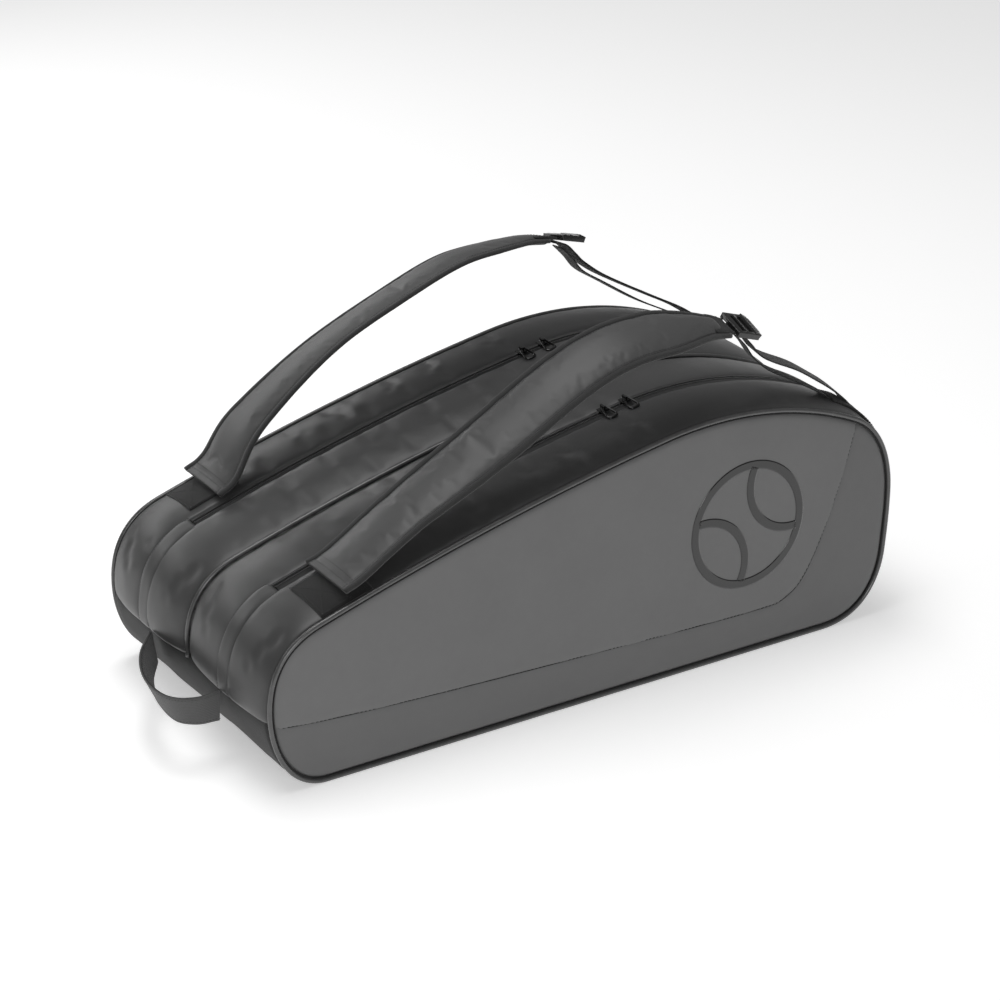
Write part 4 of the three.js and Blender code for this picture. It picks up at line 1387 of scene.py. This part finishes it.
def make_pad(name):
    strap = STRAPS[name]
    t = np.linspace(0, 1, PAD_ROWS)
    frames = strap_frames(strap["pad"], strap["side"], strap["roll"], PAD_ROWS, fade(t / 0.5))
    half = pad_width(t)[:, None] / 2
    face_half = half - BINDING_WIDTH + 1 * MM
    spread = np.linspace(-1, 1, 21)[None]

    under = -(FLANGE + 2.9 * MM * np.clip(1 - np.abs(spread) ** 3, 0, 1) * fade(t / 0.03)[:, None])
    rim = np.array([0.93, 0.98, 0.93])
    a = np.concatenate([spread * face_half, half * rim, spread[:, ::-1] * face_half, -half * rim], 1)
    top = pad_top(spread, t[:, None]) - 0.6 * MM - 2.4 * MM * (1 - spread ** 4)
    rim_b = np.array([[FLANGE, 0, -FLANGE]]) * 0.9
    b = np.concatenate([top, rim_b + 0 * half, under[:, ::-1], -rim_b + 0 * half], 1)
    points = frames.place(a, b)
    across = np.concatenate([a, a[:, -1:]], 1)
    along = np.repeat(frames.distance[:, None], across.shape[1], 1)
    core = grid_piece(f"{name}_pad_core", points, across, along, ring=True)
    dress(core, "mesh", [f"{name}_strap_pad"])
    strap_blend(core, name)

    a = spread * face_half
    b = pad_top(spread, t[:, None])
    points = frames.place(a, b)
    held = np.zeros(a.shape, bool)
    held[:, [0, -1]] = True
    held[[0, 1, -2, -1]] = True
    points = swell(points, held, 2.0, 0.002, 1.2 * MM)
    points = finer(points, 2)
    gap = (1 - np.abs(finer(spread[0][:, None].repeat(2, 1), 2)[:, 0]))[None] * 30 * MM
    fine_t = np.linspace(0, 1, len(points))
    end_gap = np.minimum(fine_t, 1 - fine_t)[:, None] * frames.distance[-1]
    pucker = ripple(points * [1, 1, 1], 11 * MM, 6.1) * np.exp(-gap / (7 * MM)) * 0.5 * MM
    waves = ripple(points, 60 * MM, 1.7) * 0.6 * MM * fade(gap / (8 * MM))
    row = np.exp(-np.abs(end_gap - 9 * MM) / (1.6 * MM)) * 0.8 * MM
    shift = waves + pucker - np.exp(-gap / (1.8 * MM)) * 0.7 * MM - row
    points = points + np.repeat(frames.up, 2, 0)[: len(points), None] * shift[..., None]
    along = np.interp(fine_t, t, frames.distance)[:, None] + 0 * gap
    across = np.interp(np.linspace(0, 20, points.shape[1]), range(21), spread[0])[None] * 30 * MM + 0 * along
    face = thicken(grid_piece(f"{name}_pad_face", points, across, along), 1.0 * MM)
    dress(face, "strap", [f"{name}_strap_face"])
    strap_blend(face, name)

    for hand, part in ((-1, "left"), (1, "right")):
        a, b = strip_section(BINDING_WIDTH, 2 * FLANGE + 1.6 * MM, 5)
        wobble = ripple(frames.centre, 18 * MM, 3.3 * hand) * 0.35 * MM
        aside = hand * (half[:, 0] - BINDING_WIDTH / 2) + wobble
        edge = swept(f"{name}_{part}_binding", frames, (a, b * 0.9), shift=aside)
        dress(edge, "binding")
        strap_blend(edge, name)
    lines = []
    skin = Surface(face)
    for share in (-0.93, 0.93):
        guide = frames.place(share * face_half, np.full_like(face_half, 3 * MM))[:, 0]
        lines.append((skin.under(guide, -frames.up, 0.15 * MM), frames.up))
    for row_at in (0.018, 0.030):
        k = int(row_at * PAD_ROWS)
        guide = np.linspace(-0.9, 0.9, 16) * face_half[k]
        points = frames.centre[k] + guide[:, None] * frames.side[k] + 3 * MM * frames.up[k]
        lines.append((skin.under(points, -frames.up[k], 0.15 * MM), frames.up[k]))
    sewn = stitches(f"{name}_pad_stitches", lines)
    strap_blend(sewn, name)
    print(name, "pad", round(frames.distance[-1], 3), "m long")


for name in STRAPS:
    make_pad(name)

# %% End tab and webbing
for name, strap in STRAPS.items():
    side, roll = strap["side"], strap["roll"]
    count = 26
    frames = strap_frames(strap["tab"], side, roll, count)
    t = np.linspace(0, 1, count)
    width = (35 - 6 * t) * MM
    width = width * (0.6 + 0.4 * np.sqrt(1 - (1 - np.minimum(t * 5, 1)) ** 2))
    sag = ripple(frames.centre, 16 * MM, 5.0) * 0.5 * MM
    end_tab = swept(f"{name}_end_tab", frames, strip_section(TAB_WIDTH, 2.6 * MM, 11), width, lift=sag)
    dress(end_tab, "ripstop", [f"{name}_strap_end_tab"], f"{name}_strap")
    lines = []
    for hand in (-1, 1):
        guide = frames.place(hand * (width / 2 - 3 * MM)[:, None], (1.45 * MM + sag)[:, None])[:, 0]
        lines.append((guide[2:-1], frames.up[2:-1]))
    cross = np.linspace(-1, 1, 14)
    for k in (2, -4):
        guide = frames.centre[k] + cross[:, None] * (width[k] / 2 - 3 * MM) * frames.side[k]
        lines.append((guide + (1.45 * MM + sag[k]) * frames.up[k], frames.up[k]))
    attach(stitches(f"{name}_end_tab_stitches", lines), f"{name}_strap")

    frames = strap_frames(strap["webbing"], side, roll / 2, 90)
    sag = ripple(frames.centre, 40 * MM, 2.0) * 0.6 * MM
    long_strand = swept(f"{name}_webbing", frames, strip_section(WEBBING_WIDTH, 1.9 * MM, 7), lift=sag)
    dress(long_strand, "webbing", [f"{name}_strap_webbing"])
    webbing_blend(long_strand, name)
    frames = strap_frames(strap["tail"], side, roll / 2, 70)
    tail = swept(f"{name}_tail", frames, strip_section(TAIL_WIDTH, 1.3 * MM, 7), lift=-2 * MM)
    dress(tail, "webbing", [f"{name}_strap_tail"])
    webbing_blend(tail, name)
tell("straps")

# %% [markdown]
# ## Buckles
# The ladder buckle is one nylon moulding: two side rails, three bars that the webbing threads round,
# and a ridged lip to lift it by. Each part is a box with rounded edges, set in the buckle's own
# directions, and then the whole is turned into place.

# %% Rounded boxes and the ladder buckles
def rounded_boxes(name, boxes, bevel, segments=3):
    """One mesh of boxes, each a centre, a size and a tilt about Y, with rounded edges."""
    work = bmesh.new()
    for centre, size, tilt in boxes:
        made = bmesh.ops.create_cube(work, size=1.0)["verts"]
        place = (
            Matrix.Translation(Vector(centre)) @ Matrix.Rotation(tilt, 4, "Y") @ Matrix.Diagonal((*size, 1))
        )
        bmesh.ops.transform(work, matrix=place, verts=made)
    bmesh.ops.bevel(
        work, geom=work.edges[:], offset=bevel, segments=segments, affect="EDGES", profile=0.6,
    )
    mesh = bpy.data.meshes.new(name)
    work.to_mesh(mesh)
    work.free()
    mesh.uv_layers.new(name="cloth")
    mesh.polygons.foreach_set("use_smooth", [True] * len(mesh.polygons))
    piece = bpy.data.objects.new(name, mesh)
    scene.collection.objects.link(piece)
    return piece


BUCKLE_LENGTH = 31
BUCKLE_BOXES = [
    ((-1, -16.5, 0), (29, 5, 6.5), 0), ((-1, 16.5, 0), (29, 5, 6.5), 0),
    ((-12.5, 0, 0.8), (6, 34, 5.4), -0.2), ((-2.5, 0, 1.2), (5, 32, 5.4), 0.25),
    ((10.5, 0, 1.0), (9, 36, 6.6), 0.3), ((14.5, 0, 0.2), (4, 30, 5), 0.7),
    ((8.6, 0, 4.6), (1.6, 27, 1.6), 0.3), ((11.8, 0, 3.9), (1.6, 27, 1.6), 0.3),
    ((15, 0, 2.8), (1.6, 25, 1.6), 0.5),
]
for name, strap in STRAPS.items():
    boxes = [
        (np.array(centre) * MM, np.array(size) * MM, tilt) for centre, size, tilt in BUCKLE_BOXES
    ]
    buckle = rounded_boxes(f"{name}_buckle_frame", boxes, 0.6 * MM)
    start, end = (np.array([x, 0, z]) * MM for x, z in strap["buckle"])
    way = (end - start) / np.linalg.norm(end - start)
    upright = np.array([-way[2], 0, way[0]])
    angle = -strap["side"] * strap["roll"]
    aside = np.array([0, 1, 0]) * math.cos(angle) + upright * math.sin(angle)
    up = np.cross(way, aside)
    centre = start + way * BUCKLE_LENGTH / 2 * MM + [0, strap["side"] * STRAP_Y, 0]
    place = Matrix(np.stack([way, aside, up], 1).tolist()).to_4x4()
    place.translation = centre
    buckle.data.transform(place)
    dress(buckle, "plastic", [f"{name}_strap_buckle"], f"{name}_buckle")
tell("buckles")

# %% [markdown]
# ## Carry handle
# The handle at the grip end is a wide webbing loop: a smooth grey sleeve outside, black webbing
# inside, and both ends sewn into the base. It sags a little between them, and leans outward.

# %% The handle loop
HANDLE_ROUTE = [(-388, -77), (-413, -74), (-431, -54), (-430, -10), (-414, 34), (-388, 70)]
HANDLE_Z = 60 * MM
HANDLE_WIDTH = 38 * MM
HANDLE_LEAN = math.radians(24)
line = even_curve(np.array(HANDLE_ROUTE) * MM, 90)
t = np.linspace(0, 1, 90)
middle = np.sin(math.pi * t)
centre = np.stack([line[:, 0], line[:, 1], HANDLE_Z + 2 * MM - 2 * MM * middle], 1)
way = tangents(centre)
outward = np.cross([0.0, 0.0, 1.0], way)
outward = outward * np.sign(np.sum(outward * (centre - [-0.38, 0, HANDLE_Z]), 1, keepdims=True))
lean = (HANDLE_LEAN * (0.35 + 0.65 * middle))[:, None]
upright = np.array([0.0, 0.0, 1.0]) * np.cos(lean) + outward * np.sin(lean)
outward = outward * np.cos(lean) - np.array([0.0, 0.0, 1.0]) * np.sin(lean)
hand_way = np.sign(np.sum(np.cross(way, upright) * outward, 1))[0]
frames = Frames(centre, upright * hand_way, outward)
width = HANDLE_WIDTH * (1 - 0.06 * middle)


def handle_part(name, level, thickness, narrower, finish):
    a, b = strip_section(HANDLE_WIDTH - narrower, thickness, 9)
    part = swept(name, frames, (a, b), width - narrower, lift=level)
    dress(part, finish)
    return part


sleeve = handle_part("handle_sleeve", 0.75 * MM, 1.5 * MM, 0.0, "handle")
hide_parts("carry_handle")
backing = handle_part("handle_backing", -0.75 * MM, 1.3 * MM, 1.5 * MM, "webbing")
lines = []
for hand in (-1, 1):
    guide = frames.place(hand * (width / 2 - 3 * MM)[:, None], np.full((90, 1), 1.55 * MM))[:, 0]
    lines.append((guide, outward))
sewn = stitches("handle_stitches", lines)
for part in (sleeve, backing, sewn):
    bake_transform(part)
tell("handle")


# %% Grab tab at the head end
start = np.array([[388, 135.5], [394, 135], [399, 133], [402.5, 129.8]]) * MM
line = even_curve(start, 24)
centre = np.stack([line[:, 0], np.full(24, -ZIP_Y), line[:, 1]], 1)
way = tangents(centre)
up = np.stack([-way[:, 2], 0 * way[:, 0], way[:, 0]], 1)
tab_frames = Frames(centre, np.tile([0, 1.0, 0], (24, 1)), up)
tab = swept("grab_tab", tab_frames, strip_section(14 * MM, 2.6 * MM, 7))
dress(tab, "webbing", ["zip_grab_tab"], "bag_body")
tell("grab tab")

# %% [markdown]
# ## Emblem
# A plain ball marks the front cover: a ring with a ball's two curved seams, pressed on as gloss film.
# It is drawn as flat strips, and each point is dropped onto the finished field, so the film follows
# every wave of the cloth.

# %% The ball
BALL = {"x": 190 * MM, "z": 156 * MM, "radius": 73 * MM, "line": 10 * MM}


def film_strip(middle, half, count):
    """A strip of points in x and z about a line, from its inner to its outer edge."""
    way = np.gradient(middle, axis=0)
    way = way / np.linalg.norm(way, axis=1, keepdims=True)
    aside = np.stack([way[:, 1], -way[:, 0]], 1)
    return middle[:, None] + aside[:, None] * np.linspace(-half, half, count)[None, :, None]


def film_piece(name, table):
    x, z = table[..., 0], table[..., 1]
    points = np.stack([x, np.full_like(x, -PANEL_Y), z], -1)
    points = fields["front"][0].under(points, np.array([0, 1.0, 0]), 0.35 * MM)
    return grid_piece(name, points, x, z)


ring_turn = np.linspace(0, 2 * math.pi, 161)
centre = np.array([BALL["x"], BALL["z"]])
radial = np.linspace(BALL["radius"] - BALL["line"], BALL["radius"], 7)
ring_table = centre + radial[None, :, None] * np.stack([np.cos(ring_turn), np.sin(ring_turn)], 1)[:, None]
parts = [film_piece("ball_ring", ring_table)]
inner = BALL["radius"] - BALL["line"]
reach = inner * 1.12
seam_radius = inner * 0.88
bend = math.acos((seam_radius ** 2 + reach ** 2 - inner ** 2) / (2 * seam_radius * reach))
for number, turn in enumerate((math.radians(35), math.radians(215))):
    pivot = centre + reach * np.array([math.cos(turn), math.sin(turn)])
    angles = turn + math.pi + np.linspace(-bend * 1.04, bend * 1.04, 70)
    arc = pivot + seam_radius * np.stack([np.cos(angles), np.sin(angles)], 1)
    parts.append(film_piece(f"ball_seam_{number}", film_strip(arc, BALL["line"] / 2, 7)))
for number, part in enumerate(parts):
    work = bmesh.new()
    work.from_mesh(part.data)
    bmesh.ops.remove_doubles(work, verts=work.verts, dist=0.01 * MM)
    work.normal_update()
    if sum(face.normal.y for face in work.faces) > 0:
        bmesh.ops.reverse_faces(work, faces=work.faces)
    work.to_mesh(part.data)
    work.free()
    thicken(part, 0.3 * MM)
    dress(part, "film", ["front_emblem"] if number == 0 else ())
    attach(part, "front_cover")
tell("emblem")

# %% [markdown]
# ## Sliders and pulls
# Each zip has two black sliders that meet at the crown. A slider is cast metal with a bridge, and its
# pull is a stirrup of round wire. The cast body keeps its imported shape, with its edges rounded; the
# pull is swept again as real round wire.

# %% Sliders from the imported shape, pulls from wire
SLIDERS = {
    "front_grip_side": (-1, 66), "front_head_side": (-1, 93),
    "rear_grip_side": (1, 78), "rear_head_side": (1, 104),
}
PULL_HEIGHT = 10.9 * MM
PULL_DROOP = math.radians(11)
PULL_SHAPE = [
    (0, 0), (-2.6, 0), (-3.1, -3), (-4.2, -8), (-5.4, -14), (-5.4, -17.4), (-3.6, -19.3), (0, -19.9),
    (3.6, -19.3), (5.4, -17.4), (5.4, -14), (4.2, -8), (3.1, -3), (2.6, 0), (0, 0),
]


def softened(name, node, width):
    """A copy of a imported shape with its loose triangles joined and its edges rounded."""
    mesh = frame["nodes"][node].data.copy()
    work = bmesh.new()
    work.from_mesh(mesh)
    bmesh.ops.remove_doubles(work, verts=work.verts, dist=0.01 * MM)
    bmesh.ops.dissolve_limit(work, angle_limit=math.radians(1), verts=work.verts, edges=work.edges)
    work.to_mesh(mesh)
    work.free()
    piece = bpy.data.objects.new(name, mesh)
    scene.collection.objects.link(piece)
    bevel = piece.modifiers.new("edges", "BEVEL")
    bevel.width = width
    bevel.segments = 2
    bevel.limit_method = "ANGLE"
    return baked(piece)


for name, (side, x) in SLIDERS.items():
    body_name = name.replace("_side", "")
    body = softened(f"{name}_slider_body", f"{name}_slider", 0.25 * MM)
    dress(body, "metal", [f"{name}_slider"], f"{body_name}_slider")
    x = x * MM
    middle, radius = (SLOPE_CENTRE, SLOPE_RADIUS) if x < CROWN_START else (CROWN_CENTRE, CROWN_RADIUS)
    lean = math.asin((x - middle[0]) / radius)
    place = Matrix.Translation((x, side * ZIP_Y, middle[1] + radius * math.cos(lean)))
    place = place @ Matrix.Rotation(lean, 4, "Y") @ Matrix.Translation((0, 0, PULL_HEIGHT))
    place = place @ Matrix.Rotation(PULL_DROOP, 4, "X")
    line = even_curve(np.array(PULL_SHAPE) * MM, 81)
    centre = np.stack([line[:, 0], line[:, 1], 0 * line[:, 0]], 1)
    way = tangents(centre)
    way[[0, -1]] = [-1, 0, 0]
    up = np.tile([0, 0, 1.0], (81, 1))
    aside = np.cross(up, way)
    broad = 1 + 0.5 * np.exp(-((line[:, 1] / MM + 19.5) / 2.5) ** 2)[:, None]
    pull = swept(f"{name}_pull_ring", Frames(centre, aside * broad, up), round_section(1.15 * MM, 10))
    pull.data.transform(place)
    dress(pull, "metal", [f"{name}_pull"], f"{body_name}_pull")
tell("sliders and pulls")

# %% [markdown]
# ## Inside the covers
# An open cover shows a quilted lining over foam, and the middle wall between the compartments. Each is
# a slab between two edge curves. A lining runs from the fold line to the outline, drawn in a little,
# and the middle wall fills the outline up to the centre bead, or light would show past its edge.

# %% Quilted linings and the middle wall
def slab(name, lower, upper, y, thickness, finish, facing, cols=34):
    """A padded slab whose visible side faces along +Y or -Y."""
    flat = ruled(lower, upper, cols)
    x, z = flat[..., 0], flat[..., 1]
    quilt = 30 * MM
    run = math.pi / quilt
    seams = np.minimum(np.abs(np.sin((x + z) * run)), np.abs(np.sin((x - z) * run)))
    puff = 1.6 * MM * np.sqrt(seams)
    points = np.stack([x, y + facing * puff, z], -1)
    if facing > 0:
        points = points[:, ::-1]
    piece = weld(thicken(grid_piece(name, points, points[..., 0], points[..., 2]), thickness))
    return dress(piece, finish)


ROWS_INSIDE = 160
LINING_INSET = 8 * MM


def inside_edge(route, inset, reverse=False):
    spots = np.linspace(0, route.length, ROWS_INSIDE)
    line = route.lifted(spots[::-1] if reverse else spots, 0.0, -inset)[:, [0, 2]]
    return line


top_edge = inside_edge(over_top, LINING_INSET)
low_edge = inside_edge(under_base, LINING_INSET, reverse=True)
WALL_INSET = 2.5 * MM  # the wall reaches up to the centre bead
wall_top = inside_edge(over_top, WALL_INSET)
wall_low = inside_edge(under_base, WALL_INSET, reverse=True)
for name, side in (("front", -1), ("rear", 1)):
    above = top_edge[top_edge[:, 1] > 84 * MM]
    fold_line = np.linspace((above[0][0], 83 * MM), (above[-1][0], 83 * MM), len(above))
    lining = slab(f"{name}_quilted_lining", fold_line, above, side * 165.6 * MM, 6 * MM, "lining", -side)
    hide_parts(f"{name}_lining", f"{name}_foam")
    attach(lining, f"{name}_cover")
    below = low_edge[low_edge[:, 1] < 76 * MM]
    fold_line = np.linspace((below[0][0], 77 * MM), (below[-1][0], 77 * MM), len(below))
    skirt = slab(f"{name}_lining_skirt", below, fold_line, side * 165.6 * MM, 6 * MM, "lining", -side, 16)
    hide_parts(f"{name}_lower_foam")
    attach(skirt, "bag_body")
    wall = slab(f"{name}_middle_wall", wall_low, wall_top, side * 0.4 * MM, 0.4 * MM, "lining", side)
    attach(wall, "bag_body")
    if side < 0:
        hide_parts("centre_divider")
board = frame["nodes"]["base_board"]
for slot_number in range(len(board.data.materials)):
    board.data.materials[slot_number] = FINISHES["board"]
tell("inside")

# %% [markdown]
# ## Floor
# The bag stands on a plain pale floor. Cloth may stand only a little proud of the imported size.

# %% Floor
floor_mesh = bpy.data.meshes.new("floor")
REACH = 30
corners = [(-REACH, -REACH, 0), (REACH, -REACH, 0), (REACH, REACH, 0), (-REACH, REACH, 0)]
floor_mesh.from_pydata(corners, [], [(0, 1, 2, 3)])
floor = bpy.data.objects.new("floor", floor_mesh)
scene.collection.objects.link(floor)
floor_finish = Finish(
    "floor_paper", (0.92, 0.92, 0.92), 0.9, Specular_IOR_Level=0.2,
    Emission_Color=(1, 1, 1, 1), Emission_Strength=0.4,
)
floor_finish.rough(floor_finish.grain(0.2) * 0.05 + 0.85)
floor.data.materials.append(floor_finish.material)
tell("floor")
